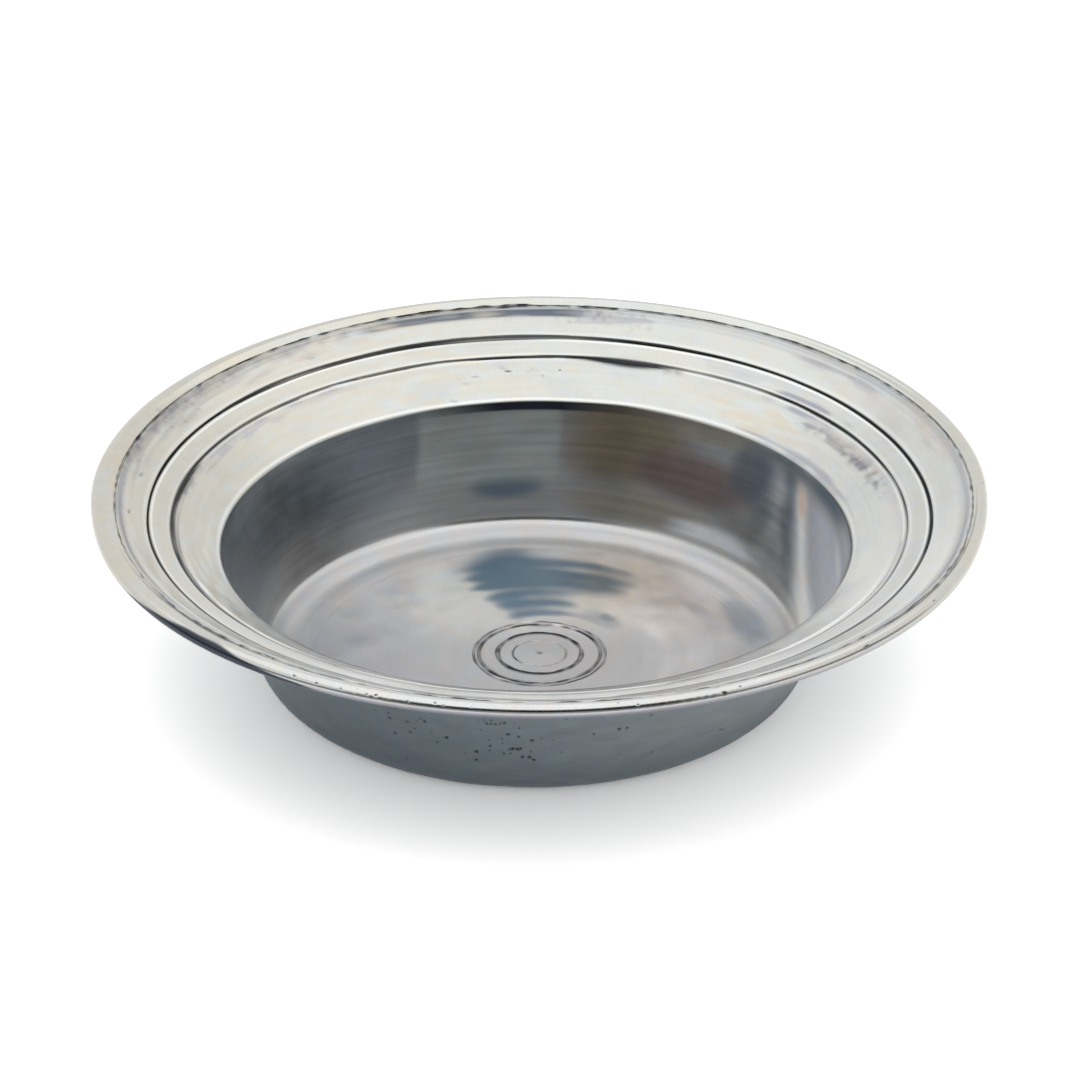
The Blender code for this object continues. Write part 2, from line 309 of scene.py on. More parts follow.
@dataclass
class Groove:
    """A turned groove in the upper side, which wanders and changes its width a little, in mm.

    Dirt is a share. Highest is the greatest number of waves per turn that its edges have. Wider and
    darker are lifts, as around() takes them, and shift moves the groove inwards where it is wider.
    """

    radius: float
    half_width: float
    depth: float
    dirt: float
    seed: int
    wander: float = 0.08
    uneven: float = 0.12
    highest: int = 14
    burr: float = 0.05
    wider: tuple = ()
    darker: tuple = ()
    shift: float = 0.0
    fall: float = 0.5

    def cut(self, radius, angle):
        """How much each point sinks in mm, and how much dirt lies there."""
        middle = self.radius + self.wander * wobble(angle, self.seed, 2, self.highest, 0.6)
        swell = around(angle, 1.0, *self.wider)
        ragged = 1 + self.uneven * wobble(angle, self.seed + 1, 2, self.highest, self.fall)
        width = np.maximum(self.half_width * swell * ragged, self.half_width * 0.35)
        middle = middle - self.shift * (width - self.half_width)
        depth = self.depth * np.sqrt(swell)
        depth = depth * np.clip(1 + self.uneven * wobble(angle, self.seed + 2, 2, self.highest), 0.3, 1.5)
        soil = self.dirt * around(angle, 1.0, *self.darker)
        soil = soil * (1 + 0.3 * wobble(angle, self.seed + 3, 2, self.highest + 10, self.fall))
        off = (radius - middle) / width
        shape = np.exp(-np.abs(off) ** 3)
        rims = np.exp(-(((np.abs(off) - 1.5) / 0.4) ** 2))
        return depth * shape - self.burr * rims, np.clip(soil, 0, 1) * shape ** 0.3


class Pits:
    """Small corroded holes. Each has an angle, a radius and a height, its size and its depth, in mm."""

    def __init__(self, soil, *groups):
        self.soil = soil
        self.places = [place for group in groups for place in group]

    def cut(self, radius, height, angle):
        shape = np.broadcast(radius, angle).shape
        sink, dirt = np.zeros(shape), np.zeros(shape)
        x, y = radius * np.cos(angle), radius * np.sin(angle)
        for turn, far, high, size, depth in self.places:
            near = beside(angle, turn, far, size)
            off = (x[near] - far * math.cos(turn)) ** 2 + (y[near] - far * math.sin(turn)) ** 2
            off = (off + (height[near] - high) ** 2) / size ** 2
            hole = np.exp(-off ** 1.5)
            sink[near] += depth * hole
            dirt[near] = np.maximum(dirt[near], self.soil * hole)
        return sink, dirt


def scatter(seed, count, angle, spread, along, reach, surface, size):
    """Pits strewn about one place: angle and spread in degrees, along and reach in mm on a surface."""
    dice = np.random.default_rng(seed)
    places = []
    for _ in range(count):
        turn = math.radians(dice.normal(angle, spread))
        radius, height = surface(dice.normal(along, reach))
        across = size * math.exp(dice.normal(0, 0.35))
        places.append((turn, radius, height, across, across * dice.uniform(0.5, 0.9)))
    return places


def spot(angle, radius, height, size):
    """One pit, at an angle in degrees, 1.2 sizes from its middle to its edge and 0.7 sizes deep."""
    return math.radians(angle), radius, height, size * 1.2, size * 0.7


def inner_band(radius):
    share = (radius - LIP[0]) / INNER_BAND[0]
    return radius, LIP[1] + INNER_BAND[1] * share


def outer_band(radius):
    share = (radius - OUTER_GROOVE[0]) / OUTER_BAND[0]
    return radius, OUTER_GROOVE[1] + OUTER_BAND[1] * share


def bead_face(turn):
    """A point of the edge moulding, by the angle in degrees above its outermost point."""
    side = math.radians(turn)
    far = BEAD_CENTRE[0] + BEAD_WIDTH / 2 * math.cos(side)
    return far, BEAD_CENTRE[1] + BEAD_THICKNESS / 2 * math.sin(side)


GROOVES = [
    Groove(
        OUTER_GROOVE[0], 0.37, 0.62, 1.15, 10, burr=0.09,
        wider=((93, 20, 0.65), (130, 24, 0.3), (190, 30, -0.2), (-40, 20, 0.2)),
        darker=((-100, 22, -0.55), (175, 40, -0.3)),
    ),
    Groove(
        INNER_GROOVE[0], 0.31, 0.48, 0.85, 20, burr=0.08, uneven=0.2, highest=20, shift=1.0,
        wider=((75.5, 7, 2.0), (143, 8, 0.3), (168, 8, 1.0), (203, 22, 1.5), (229, 12, 0.6), (20, 20, 0.4)),
        darker=(
            (100, 14, -0.4), (135, 16, -0.6), (75, 9, 0.3), (-95, 40, -0.3), (168, 8, 0.3), (215, 20, 0.4),
        ),
    ),
    Groove(
        OUTER_RING, 0.34, 0.30, 0.70, 30, wander=0.03, uneven=0.1, burr=0.04,
        darker=((0, 35, -0.5), (180, 35, -0.4)),
    ),
    Groove(
        INNER_RING, 0.46, 0.40, 0.90, 40, wander=0.03, uneven=0.1, burr=0.06,
        wider=((100, 40, 0.4),), darker=((0, 35, -0.5), (180, 35, -0.4)),
    ),
    Groove(PLUG_RING, 0.28, 0.18, 0.30, 50, wander=0.05, burr=0.03, darker=((170, 50, 1.3),)),
]
SEAM_CRACK = Groove(
    BEAD_SEAM.mouth[0], 0.24, 0.40, 0.82, 70, wander=0.10, uneven=0.36, highest=150, burr=0.02, fall=0.15,
    wider=((94, 5, 1.8), (81.5, 3, 2.2), (74, 4, 1.6), (108, 16, 0.8), (150, 20, 0.6), (45, 20, 0.3)),
    darker=(
        (60, 14, -0.2), (85.5, 1.0, -0.7), (78.3, 0.6, -0.8), (96, 6, 0.3), (30, 26, -0.2),
        (180, 20, -0.3), (222, 34, -0.85), (-20, 40, -0.5), (-90, 26, -0.8),
    ),
)
PLUG_CRACK = Groove(
    PLUG_RADIUS, 0.56, 0.48, 1.00, 80, wander=0.05, uneven=0.15, burr=0.07,
    darker=((0, 30, -0.45), (180, 30, -0.3)),
)
# The dark dot that the lathe's centre left: its radius
CENTRE_PIT = 0.8

RIM_PITS = Pits(
    1.0,
    [spot(95.5, *inner_band(117.1), 0.34), spot(86.5, *inner_band(117.4), 0.26)],
    [spot(96, *inner_band(107), 0.30)],
)
FAINT_PITS = Pits(
    0.50,
    scatter(106, 7, 95.0, 12.0, 112.5, 3.5, inner_band, 0.34),
    scatter(107, 10, 250.0, 60.0, 134.5, 3.0, outer_band, 0.34),
    scatter(110, 24, 160.0, 28.0, 138.0, 5.0, outer_band, 0.36),
)
# The largest pits on the front of the outside, each with its angle, radius, height and size
WALL_SPOTS = (
    (-117, 98.6, 22, 0.45), (-114, 101, 29, 0.40), (-110.5, 102, 30.5, 0.50), (-114, 104, 37, 0.35),
    (-99, 103, 33, 0.42), (-98.2, 103, 33.2, 0.35), (-97.4, 103, 33, 0.42), (-96.5, 103, 33.4, 0.32),
    (-95, 101, 28.6, 0.50), (-94, 98.5, 22, 0.60), (-93.2, 98.5, 22, 0.50), (-92.5, 98.6, 22.2, 0.48),
    (-90.5, 100, 26, 0.48), (-92, 97, 18.5, 0.50), (-90.7, 97, 18.4, 0.55), (-100.8, 97.6, 19.7, 0.55),
    (-100.9, 96.1, 15.9, 0.45), (-106.5, 99.5, 24.7, 0.55), (-89.8, 96.6, 17.2, 0.45),
    (-74.5, 101, 28.5, 0.50), (-73, 101, 28.5, 0.42), (-85, 104, 35.7, 0.40),
)
WALL_PITS = Pits(
    1.0,
    [spot(*place) for place in WALL_SPOTS],
    scatter(111, 12, -93.5, 2.6, 23.0, 3.6, outer_wall, 0.30),
    scatter(112, 6, -97.5, 2.2, 33.3, 0.6, outer_wall, 0.28),
    scatter(113, 12, -113.5, 3.6, 29.0, 5.5, outer_wall, 0.26),
    scatter(116, 26, -95.0, 22.0, 26.0, 9.0, outer_wall, 0.22),
    scatter(117, 30, 90.0, 70.0, 26.0, 9.0, outer_wall, 0.40),
)
BEAD_PITS = Pits(
    1.0,
    [(math.radians(-67.3), *bead_face(31), 0.62, 0.16), (math.radians(-65.0), *bead_face(54), 0.36, 0.20)],
    scatter(121, 12, -110.0, 5.0, 46.0, 10.0, bead_face, 0.26),
    scatter(122, 14, 60.0, 90.0, 50.0, 25.0, bead_face, 0.24),
)


def band(value, start, width):
    """A smooth hollow between two places, 1 deep in its middle."""
    share = np.clip((value - start) / width, 0, 1)
    return np.sin(math.pi * share) ** 2


def step(value, start, end, soft):
    """1 between two places and 0 outside them, with soft ends."""
    return ease(value, start - soft / 2, start + soft / 2) * (1 - ease(value, end - soft / 2, end + soft / 2))


def cut_all(cutters, sink, radius, height, angle):
    """Adds grooves and pits to a surface that is already sunk by some mm. Also gives their dirt."""
    dirt = np.zeros(sink.shape)
    for cutter in cutters:
        if isinstance(cutter, Pits):
            depth, soil = cutter.cut(radius, height, angle)
            sink += depth
            dirt = np.maximum(dirt, soil)
            continue
        near = np.abs(radius[0] - cutter.radius) < 4
        if near.any():
            depth, soil = cutter.cut(radius[:, near], angle)
            sink[:, near] += depth
            dirt[:, near] = np.maximum(dirt[:, near], soil)
    return sink, dirt


def upper_relief(radius, height, angle):
    """How far the upper and inner surface lies below its smooth outline, and its dirt."""
    along = radius + height
    sink = np.zeros(np.broadcast(radius, angle).shape)
    sink, dirt = cut_all([*GROOVES, RIM_PITS, FAINT_PITS], sink, radius, height, angle)
    on_rim = ease(height, LIP[1] - 2, LIP[1] + 2)
    cove_width = EDGE_COVE[0] * 1.3
    sink += EDGE_COVE[1] * band(radius, FLANGE_EDGE[0] - cove_width, cove_width) * on_rim
    ridge_inner = INNER_GROOVE[0] - 0.5 - RIDGE[0]
    doubled = around(angle, 0.45, (200, 40, 0.7), (270, 60, 0.5), (330, 30, 0.4))
    sink -= RIDGE[1] * doubled * band(radius, ridge_inner, RIDGE[0]) * on_rim
    sink += RIDGE_COVE[1] * doubled * band(radius, ridge_inner - RIDGE_COVE[0], RIDGE_COVE[0]) * on_rim
    # The waves die down towards the middle and the seams, so that the pieces stay flush
    apart = np.abs(height - LIP_SEAM.back(1)[1]) + (height < COVE_ROUND) * np.abs(radius - FLOOR_RADIUS)
    still = ease(radius, 25, 60) * ease(apart, 0, 5)
    sink += 0.04 * still * waves(angle, along, 90, 20, (3, 24), (16, 60))
    crown = np.clip(1 - radius / PLUG_RADIUS, 0, 1) * PLUG_CROWN
    return sink - crown * (height < FLOOR_TOP + 1), dirt


def under_relief(radius, height, angle):
    """The same for the outer and lower surface, which was turned less finely."""
    along = radius + height
    sink = 0.03 * waves(angle, along, 92, 20, (3, 24), (16, 60))
    sink += 0.006 * waves(angle, along, 93, 24, (15, 48), (5, 14))
    return cut_all([WALL_PITS], sink, radius, height, angle)


def bead_relief(radius, height, angle):
    """The moulding: hammered a little in two places, with its inner shoulder filled."""
    along = radius + height
    sink = 0.014 * waves(angle, along, 94, 16, (3, 22), (8, 30))
    worn = around(angle, 0.0, (-73, 5, 1.0), (-110, 5, 1.0))
    sink += 0.012 * worn * waves(angle, along, 95, 30, (140, 420), (1.5, 6))
    shoulder = np.clip((BEAD_CENTRE[1] + 1.65 - height) / 1.05, 0, 1) * (radius < BEAD_CENTRE[0])
    sink -= 0.65 * shoulder ** 1.8 * (height > BEAD_CENTRE[1])
    return cut_all([BEAD_PITS], sink, radius, height, angle)


def crack_relief(crack, valley):
    """The relief of a soldered seam: its crack, and how far the solder sank in its middle, in mm."""

    def relief(radius, height, angle):
        sink, dirt = crack.cut(radius, angle)
        edge = np.clip(1 - np.abs(radius - crack.radius) / (SEAM_WIDTH / 2), 0, 1)
        return sink * ease(edge, 0, 0.3) + valley * np.sin(math.pi / 2 * edge), dirt

    return relief


def plain_relief(radius, height, angle):
    """Neither sunk nor dirty."""
    return 0, 0


# The metal's colours
RIM_SILVER = (0.598, 0.606, 0.586)
BEAD_SILVER = (0.610, 0.603, 0.562)
STRAW = (0.600, 0.560, 0.475)
BLUSH = (0.560, 0.515, 0.490)
LAVENDER = (0.430, 0.430, 0.475)
STONE = (0.440, 0.425, 0.400)
SMUDGE = (0.210, 0.205, 0.235)
SLATE = (0.090, 0.105, 0.145)
# The next three colours are used only for painted highlights
BRIGHT = (0.800, 0.805, 0.790)
SHINE = (0.930, 0.935, 0.920)
GLINT = (1.000, 1.000, 1.000)
FLOOR_SILVER = (0.525, 0.520, 0.530)
# The next two: painted shade on the floor and low in the cove, and painted light on the floor
FLOOR_SHADED = (0.460, 0.455, 0.470)
FLOOR_LIT = (0.850, 0.815, 0.800)
# A cooler silver painted on the front, as the tint of its reflection there
FRONT_REFLECTION_TINT = (0.612, 0.614, 0.622)
WALL_SILVER = (0.500, 0.505, 0.520)
# The colours down to LILAC are for painted reflections and shade; MAUVE also colours staining on the rim
BLUE_GREY = (0.220, 0.270, 0.325)
DEEP_BLUE = (0.150, 0.185, 0.245)
STEEL = (0.340, 0.380, 0.430)
NAVY = (0.030, 0.038, 0.058)
PEACH = (0.900, 0.740, 0.640)
MAUVE = (0.330, 0.325, 0.385)
PLUM = (0.262, 0.252, 0.302)
STEEL_BLUE = (0.165, 0.240, 0.320)
MIST = (0.930, 0.950, 1.000)
PALE_BLUE = (0.540, 0.600, 0.590)
OLIVE = (0.360, 0.300, 0.220)
KHAKI = (0.430, 0.390, 0.330)
MAROON = (0.260, 0.195, 0.200)
LILAC = (0.800, 0.810, 0.890)
OUTSIDE = (0.258, 0.312, 0.352)
# The next two: painted light on the outside, and painted shade on it and under the moulding
OUTSIDE_LIT = (0.400, 0.430, 0.450)
OUTSIDE_SHADED = (0.190, 0.225, 0.255)
SOIL = (0.013, 0.015, 0.023)
WARM_TINT = (1.000, 0.985, 0.950)
COOL_TINT = (0.970, 0.993, 1.005)


@dataclass
class StainOrShading:
    """A soft patch of another colour, staining or painted light: its place and spread round the bowl in
    degrees, and along in mm.
    """

    angle: float
    spread: float
    along: float
    reach: float
    colour: tuple
    strength: float
    ragged: float = 0.5

    def share(self, along, angle, mottle):
        off = (wrapped(angle - math.radians(self.angle)) / math.radians(self.spread)) ** 2
        off = off + ((along - self.along) / self.reach) ** 2
        return self.strength * ease(1 - off + self.ragged * mottle, 0.0, 0.9) * (off < 6)


# The rim's and the moulding's staining, with painted shade and one painted highlight, as the patch class
# takes them, with their place along as a radius
RIM_STAINS_AND_SHADING = [StainOrShading(*row) for row in (
    (135, 40, 146, 5, STRAW, 0.30),
    (160, 70, 128, 34, STRAW, 0.60, 0.3),
    (-30, 45, 147, 4, STRAW, 0.35),
    # Rows near radius 137.5 to 141 lie in the edge cove and paint shade there as well as staining
    (41, 9, 138.6, 1.8, MAUVE, 0.60, 0.3),
    (19, 11, 139.8, 3.0, BLUSH, 0.60),
    (30, 12, 136.0, 5.0, BLUSH, 0.35),
    (50, 14, 127.5, 3.0, LAVENDER, 0.25),
    (43, 9, 124.9, 1.7, MAUVE, 0.90, 0.3),
    (42, 8, 120.6, 1.4, MAUVE, 0.80, 0.3),
    (26, 13, 117.5, 1.5, MAUVE, 0.75, 0.6),
    (25, 11, 119.8, 1.5, BLUSH, 0.80, 0.3),
    (28, 13, 117.4, 1.9, STONE, 0.50, 0.6),
    (47, 11, 112.0, 5.5, STRAW, 0.80),
    (58, 9, 118.0, 4.0, STRAW, 0.35),
    (35, 12, 110.0, 3.5, BLUSH, 0.35),
    (150, 24, 138.5, 4.0, STONE, 0.65),
    (128, 18, 137.5, 3.0, BLUSH, 0.45),
    (150, 12, 120.0, 2.6, LAVENDER, 0.60, 0.8),
    (135, 14, 119.8, 1.6, BLUSH, 0.50, 0.6),
    (205, 30, 147, 4, STRAW, 0.35),
    (80, 6, 138.8, 2.4, MAUVE, 0.45, 0.8),
    (98, 10, 112, 4.0, STRAW, 0.25),
    (75, 16, 112, 4.0, STRAW, 0.22),
    # Painted highlight on the front of the moulding
    (265, 40, 145, 5, BRIGHT, 0.30),
    # Painted shade on the lip's round at the right
    (30, 24, 106.9, 1.6, MAUVE, 0.75, 0.15),
    (133, 10, 121.6, 1.6, MAUVE, 0.60, 0.4),
    (183, 13, 141.0, 1.8, LAVENDER, 0.80, 0.2),
)]


def smudges(seed, count, angle, spread, radius, reach, size, strength):
    """Round smudges strewn about one place of the rim: angle and spread in degrees, the rest in mm."""
    dice = np.random.default_rng(seed)
    places = []
    for _ in range(count):
        turn = math.radians(dice.normal(angle, spread))
        far = dice.normal(radius, reach)
        across = size * math.exp(dice.normal(0, 0.4))
        places.append((turn, far, across, strength * dice.uniform(0.4, 1.2)))
    return places


# Groups of smudges on the rim, each as smudges() takes it
RIM_GRIME = [place for group in (
    (201, 26, 32, 4.0, 117.8, 0.7, 0.75, 0.44),
    (202, 44, 23, 2.6, 117.4, 0.8, 0.80, 0.62),
    (203, 22, 15, 2.4, 117.6, 0.8, 0.70, 0.40),
    (204, 34, 82, 2.4, 139.6, 1.1, 0.65, 0.46),
    (205, 34, 76, 3.0, 138.4, 1.5, 0.60, 0.26),
    (206, 14, 67, 1.8, 121.2, 0.5, 0.60, 0.40),
    (207, 90, 160, 9.0, 141.0, 0.9, 0.75, 0.56),
    (208, 50, 128, 8.0, 140.6, 1.2, 0.65, 0.38),
    (209, 26, 168, 5.0, 121.4, 0.7, 0.65, 0.46),
    (210, 10, 97, 5.0, 117.2, 0.8, 0.55, 0.30),
    (211, 16, -68, 4.0, 146.0, 1.0, 0.50, 0.26),
    (212, 16, -110, 5.0, 146.0, 1.0, 0.50, 0.24),
) for place in smudges(*group)]
# The wall's painted reflections, with their place along as a height
WALL_PAINTED_REFLECTIONS = [StainOrShading(*row) for row in (
    (96, 10, 19, 6, STEEL_BLUE, 0.90, 0.03),
    (72, 16, 36, 20, OLIVE, 1.00, 0.03),
    (66, 20, 14, 8, KHAKI, 0.90, 0.03),
    (55, 19, 28, 11, MAROON, 0.95, 0.03),
    (56, 12, 45, 6, KHAKI, 0.80, 0.05),
    (35, 9, 36, 18, BLUE_GREY, 0.80, 0.04),
    (43, 7, 36, 12, DEEP_BLUE, 0.75, 0.04),
    (29, 6, 24, 7, LILAC, 0.50, 0.05),
    (16, 13, 46, 6, BLUE_GREY, 0.80, 0.04),
    (46, 16, 11, 6.0, MIST, 1.00, 0.05),
    (28, 10, 17, 9, MIST, 0.40, 0.05),
    (185, 56, 32, 22, STEEL, 0.80, 0.03),
    (130, 26, 34, 22, BLUE_GREY, 0.60, 0.03),
)]
# The pale pane at the back of the wall, a painted reflection: its left and right side, and its lower edge
PAINTED_PANE = (-42, 7.5, 21)
# The painted highlight low on the wall: its x, its height, and half its width and height
PAINTED_BRIGHT_SPOT = (91.3, 13, 3.6, 6.5)
# Upright streaks of painted reflection and highlight: each has its x, its half width, its lower and upper
# end, its colour and strength
WALL_PAINTED_STREAKS = [
    (83.0, 3.0, 20, 42, LILAC, 0.50),
    (87.3, 2.0, 8, 46, BLUE_GREY, 0.75),
    (98.5, 6.0, 4, 41, LILAC, 0.70),
    (91.3, 1.9, 10, 41, GLINT, 0.90),
    (91.0, 1.3, 34, 41, PEACH, 0.95),
    (101.5, 1.2, 14, 38, SHINE, 0.90),
    (104.5, 2.2, 8, 46, LILAC, 0.60),
]
# The floor's painted reflections and highlights, by radius
FLOOR_PAINTED_REFLECTIONS = [StainOrShading(*row) for row in (
    (92, 27, 56, 25, STEEL_BLUE, 0.95, 0.14),
    (66, 17, 56, 14, STEEL_BLUE, 0.90, 0.14),
    (97, 22, 38, 13, STEEL_BLUE, 0.55, 0.06),
    (91, 30, 32, 8, STEEL_BLUE, 0.88, 0.22),
    (105, 13, 45, 22, STEEL_BLUE, 0.90, 0.15),
    (56, 24, 32, 5, STEEL, 0.55, 0.25),
    (48, 6, 34, 2.5, BLUE_GREY, 0.50, 0.3),
    (17, 15, 76, 9, STEEL, 0.75, 0.12),
    (26, 16, 64, 4, LAVENDER, 0.50, 0.2),
    (45, 16, 66, 10, FLOOR_LIT, 0.90, 0.1),
    (40, 30, 45, 10, FLOOR_LIT, 0.70, 0.1),
    (-5, 40, 55, 22, FLOOR_LIT, 0.25, 0.06),
    (200, 50, 55, 26, LAVENDER, 0.30, 0.1),
)]


class Paint:
    """The colours of a grid of points, with others laid over the first one."""

    def __init__(self, shape, colour):
        self.field = np.ones((*shape, 3)) * np.array(colour)

    def lay(self, colour, share):
        self.field = self.field + (np.array(colour) - self.field) * share[..., None]

    # Lays patches of staining and of painted light and shade, one after another
    def stain_or_shading(self, stains_or_shading, along, angle, mottle):
        for stain_or_shading in stains_or_shading:
            self.lay(stain_or_shading.colour, stain_or_shading.share(along, angle, mottle))

    def shade(self, level):
        self.field = self.field * level[..., None]


def rim_tone(radius, height, angle):
    """The upper side: warm silver with clouds, staining, painted shade and highlights, and the wall's colours
    under the lip.
    """
    along = radius + height
    haze = waves(angle, along, 141, 24, (2, 20), (14, 60))
    mottle = waves(angle, along, 142, 40, (6, 48), (3, 16))
    paint = Paint(haze.shape, RIM_SILVER)
    paint.lay(STRAW, 0.14 * ease(haze, 0.2, 1.8))
    paint.lay(LAVENDER, 0.20 * ease(-haze, 0.4, 1.9))
    # Painted shade: lavender in the edge cove by the seam
    lilac = share_around(angle, 0.30, (-22, 24, 0.6), (180, 34, 0.7), (225, 24, 0.5), (150, 18, 0.2))
    paint.lay(LAVENDER, band(radius, FLANGE_EDGE[0] - 3.4, 5.0) * lilac)
    crease = np.clip(around(angle, 0, (170, 34, 0.8), (15, 22, 0.25)) * (1 + 0.3 * mottle), 0, 0.9)
    paint.lay(SMUDGE, crease * step(radius, FLANGE_EDGE[0] - 1.5, FLANGE_EDGE[0] + 0.4, 0.8))
    slate = step(angle, math.radians(84), math.radians(116), math.radians(5)) * (1 + 0.2 * mottle)
    strip = step(radius, FLANGE_EDGE[0] - 3.6, FLANGE_EDGE[0] - 0.5, 0.8)
    paint.lay(SLATE, strip * np.clip(slate, 0, 0.9))
    # Painted shade: lavender in the cove beside the ridge
    lilac = share_around(angle, 0.15, (190, 40, 0.7), (315, 30, 0.5), (20, 25, 0.3))
    paint.lay(LAVENDER, band(radius, INNER_GROOVE[0] - 4.0, 2.8) * lilac)
    # Painted reflection: the front turns a cooler silver
    paint.lay(FRONT_REFLECTION_TINT, 0.8 * share_around(angle, 0, (-90, 70, 1.0)))
    # Painted highlight: the inner and outer bands lighter towards the front left and front right
    sides = share_around(angle, 0, (-140, 30, 1.0), (-38, 30, 1.0))
    flat = step(radius, LIP[0] + 1, INNER_GROOVE[0] - 0.8, 1.5)
    flat = flat + 0.9 * step(radius, OUTER_GROOVE[0] + 1.0, FLANGE_EDGE[0] - 3.0, 1.5)
    paint.lay(SHINE, 0.75 * sides * flat)
    # Staining, with painted shade in the coves and one painted highlight on the front
    paint.stain_or_shading(RIM_STAINS_AND_SHADING, radius, angle, mottle)
    # Painted highlights: pale lines beside the two grooves
    for groove in (OUTER_GROOVE[0], INNER_GROOVE[0]):
        paint.lay(BRIGHT, 0.6 * band(radius, groove + 0.5, 1.4))
        paint.lay(SHINE, 0.8 * band(radius, groove - 1.6, 1.0))
    # Painted highlight on the middle band at the front
    front = share_around(angle, 0, (-95, 55, 0.55))
    paint.lay(SHINE, front * step(radius, INNER_GROOVE[0] + 0.8, OUTER_GROOVE[0] - 0.8, 1.2))
    # Painted highlight along the lip's crest, dimmed at the right where a row paints shade
    crest = band(radius, LIP[0] + 0.1, 1.2) * (height > LIP[1] - 1.0)
    crest = crest * (0.9 - np.clip(around(angle, 0, (28, 24, 0.75)), 0, 0.9))
    paint.lay(BRIGHT, crest)
    shadow = share_around(angle, 0, (-92, 48, 0.95)) * band(radius, LIP[0] - 1.4, 6.0)
    paint.lay(SLATE, shadow * (height > LIP[1] - 1.0))
    inside = 1 - ease(height, LIP[1] - 0.8, LIP[1] - 0.05)
    paint.lay(wall_tone(radius, height, angle), inside)
    return paint.field


def wall_dull(radius, height, angle):
    """The wall's right end is worn matt, and catches the light from above. The left end is a little so."""
    across = radius * np.cos(angle)
    worn = 4.2 * ease(across, 85, 92) * ease(angle, -0.6, -0.2) + 1.0 * ease(-across, 90, 98)
    low = around(angle, 0, (46, 18, 2.0)) * (1 - ease(height, 12, 19))
    above_cove = ease(height, FLOOR_TOP + 0.5, FLOOR_TOP + 5)
    return (worn + low) * above_cove * (1 - ease(height, LIP[1] - 2.0, LIP[1] - 0.6))


def wall_tone(radius, height, angle):
    """The well: painted shade high up, painted reflections in patches and upright streaks, and a painted
    bright cove.
    """
    along = radius + height
    mottle = waves(angle, along, 143, 40, (3, 16), (16, 60))
    drawn = waves(angle, along, 144, 60, (2, 8), (1.6, 7))
    paint = Paint(mottle.shape, WALL_SILVER)
    # Painted shade: the wall darker and bluer towards the top
    paint.lay(BLUE_GREY, 0.35 * ease(height, 14, 44))
    # Painted reflections in soft patches
    paint.stain_or_shading(WALL_PAINTED_REFLECTIONS, height, angle, mottle + drawn)
    x = radius * np.cos(angle)
    # Painted reflection: a pale pane
    left, right, bottom = PAINTED_PANE
    pane = step(x + 0.6 * wobble(height / 9, 152, 1, 4), left, right, 3) * step(height, bottom, LIP[1], 7)
    pane = pane * (np.sin(angle) > 0)
    paint.lay(PALE_BLUE, 0.9 * pane)
    # Painted reflections and highlights in upright streaks
    for place, spread, bottom, top, colour, strength in WALL_PAINTED_STREAKS:
        off = (x - place - 0.5 * wobble(height / 9, int(place * 10), 1, 4)) / spread
        share = strength * np.exp(-off ** 2) * ease(angle, -0.6, -0.3)
        paint.lay(colour, share * step(height, bottom, top, 7))
    # Painted shade: a dark band under the lip at the back
    painted_lip_shade = np.clip(around(angle, 0.1, (92, 17, 1.0)), 0, 0.98)
    paint.lay(NAVY, step(height, LIP[1] - 3.2, LIP[1] - 0.05, 0.5) * painted_lip_shade)
    lined = 1 - 0.8 * np.clip(wall_dull(radius, height, angle), 0, 1)
    paint.shade(0.95 * (1 + 0.05 * drawn * lined))
    # Painted shade low on the wall, and a painted highlight as a pale band in the cove
    rise = around(angle, 0.5, (20, 14, 2.6), (48, 12, 0.8))
    low = 1 - ease(height, FLOOR_TOP + 4.2 + rise, FLOOR_TOP + 6.2 + rise)
    paint.lay(FLOOR_SHADED, low)
    paint.lay(BRIGHT, 0.50 * low * ease(height, FLOOR_TOP + 2.2, FLOOR_TOP + 4.0))
    # Painted highlight: a bright spot low on the wall
    far, high, half_width, half_height = PAINTED_BRIGHT_SPOT
    off = ((x - far) / half_width) ** 2 + ((height - high) / half_height) ** 2
    paint.lay(GLINT, np.exp(-off) * (np.sin(angle) > -0.5))
    paint.lay(floor_tone(radius, height, angle), 1 - ease(height, FLOOR_TOP, FLOOR_TOP + 2.5))
    return paint.field


def outside_tone(radius, height, angle):
    """The grey outside and underside, with painted light to the right and painted shade at the front left and
    by the foot.
    """
    along = radius + height
    haze = waves(angle, along, 145, 30, (3, 40), (8, 40))
    mottle = waves(angle, along, 146, 40, (10, 48), (3, 14))
    paint = Paint(haze.shape, OUTSIDE)
    # Painted light: paler towards the front right
    paint.lay(OUTSIDE_LIT, share_around(angle, 0.15, (-40, 45, 0.85)))
    # Painted shade: darker at the front left and towards the foot
    paint.lay(OUTSIDE_SHADED, share_around(angle, 0.1, (-135, 38, 0.6)))
    paint.lay(OUTSIDE_SHADED, 0.6 * (1 - ease(height, 2, 24)))
    # Near black along the lowest 1.2 mm
    paint.lay(SOIL, 0.7 * (1 - ease(height, 0.0, 1.2)))
    paint.shade(1 + 0.02 * haze + 0.02 * mottle)
    return paint.field


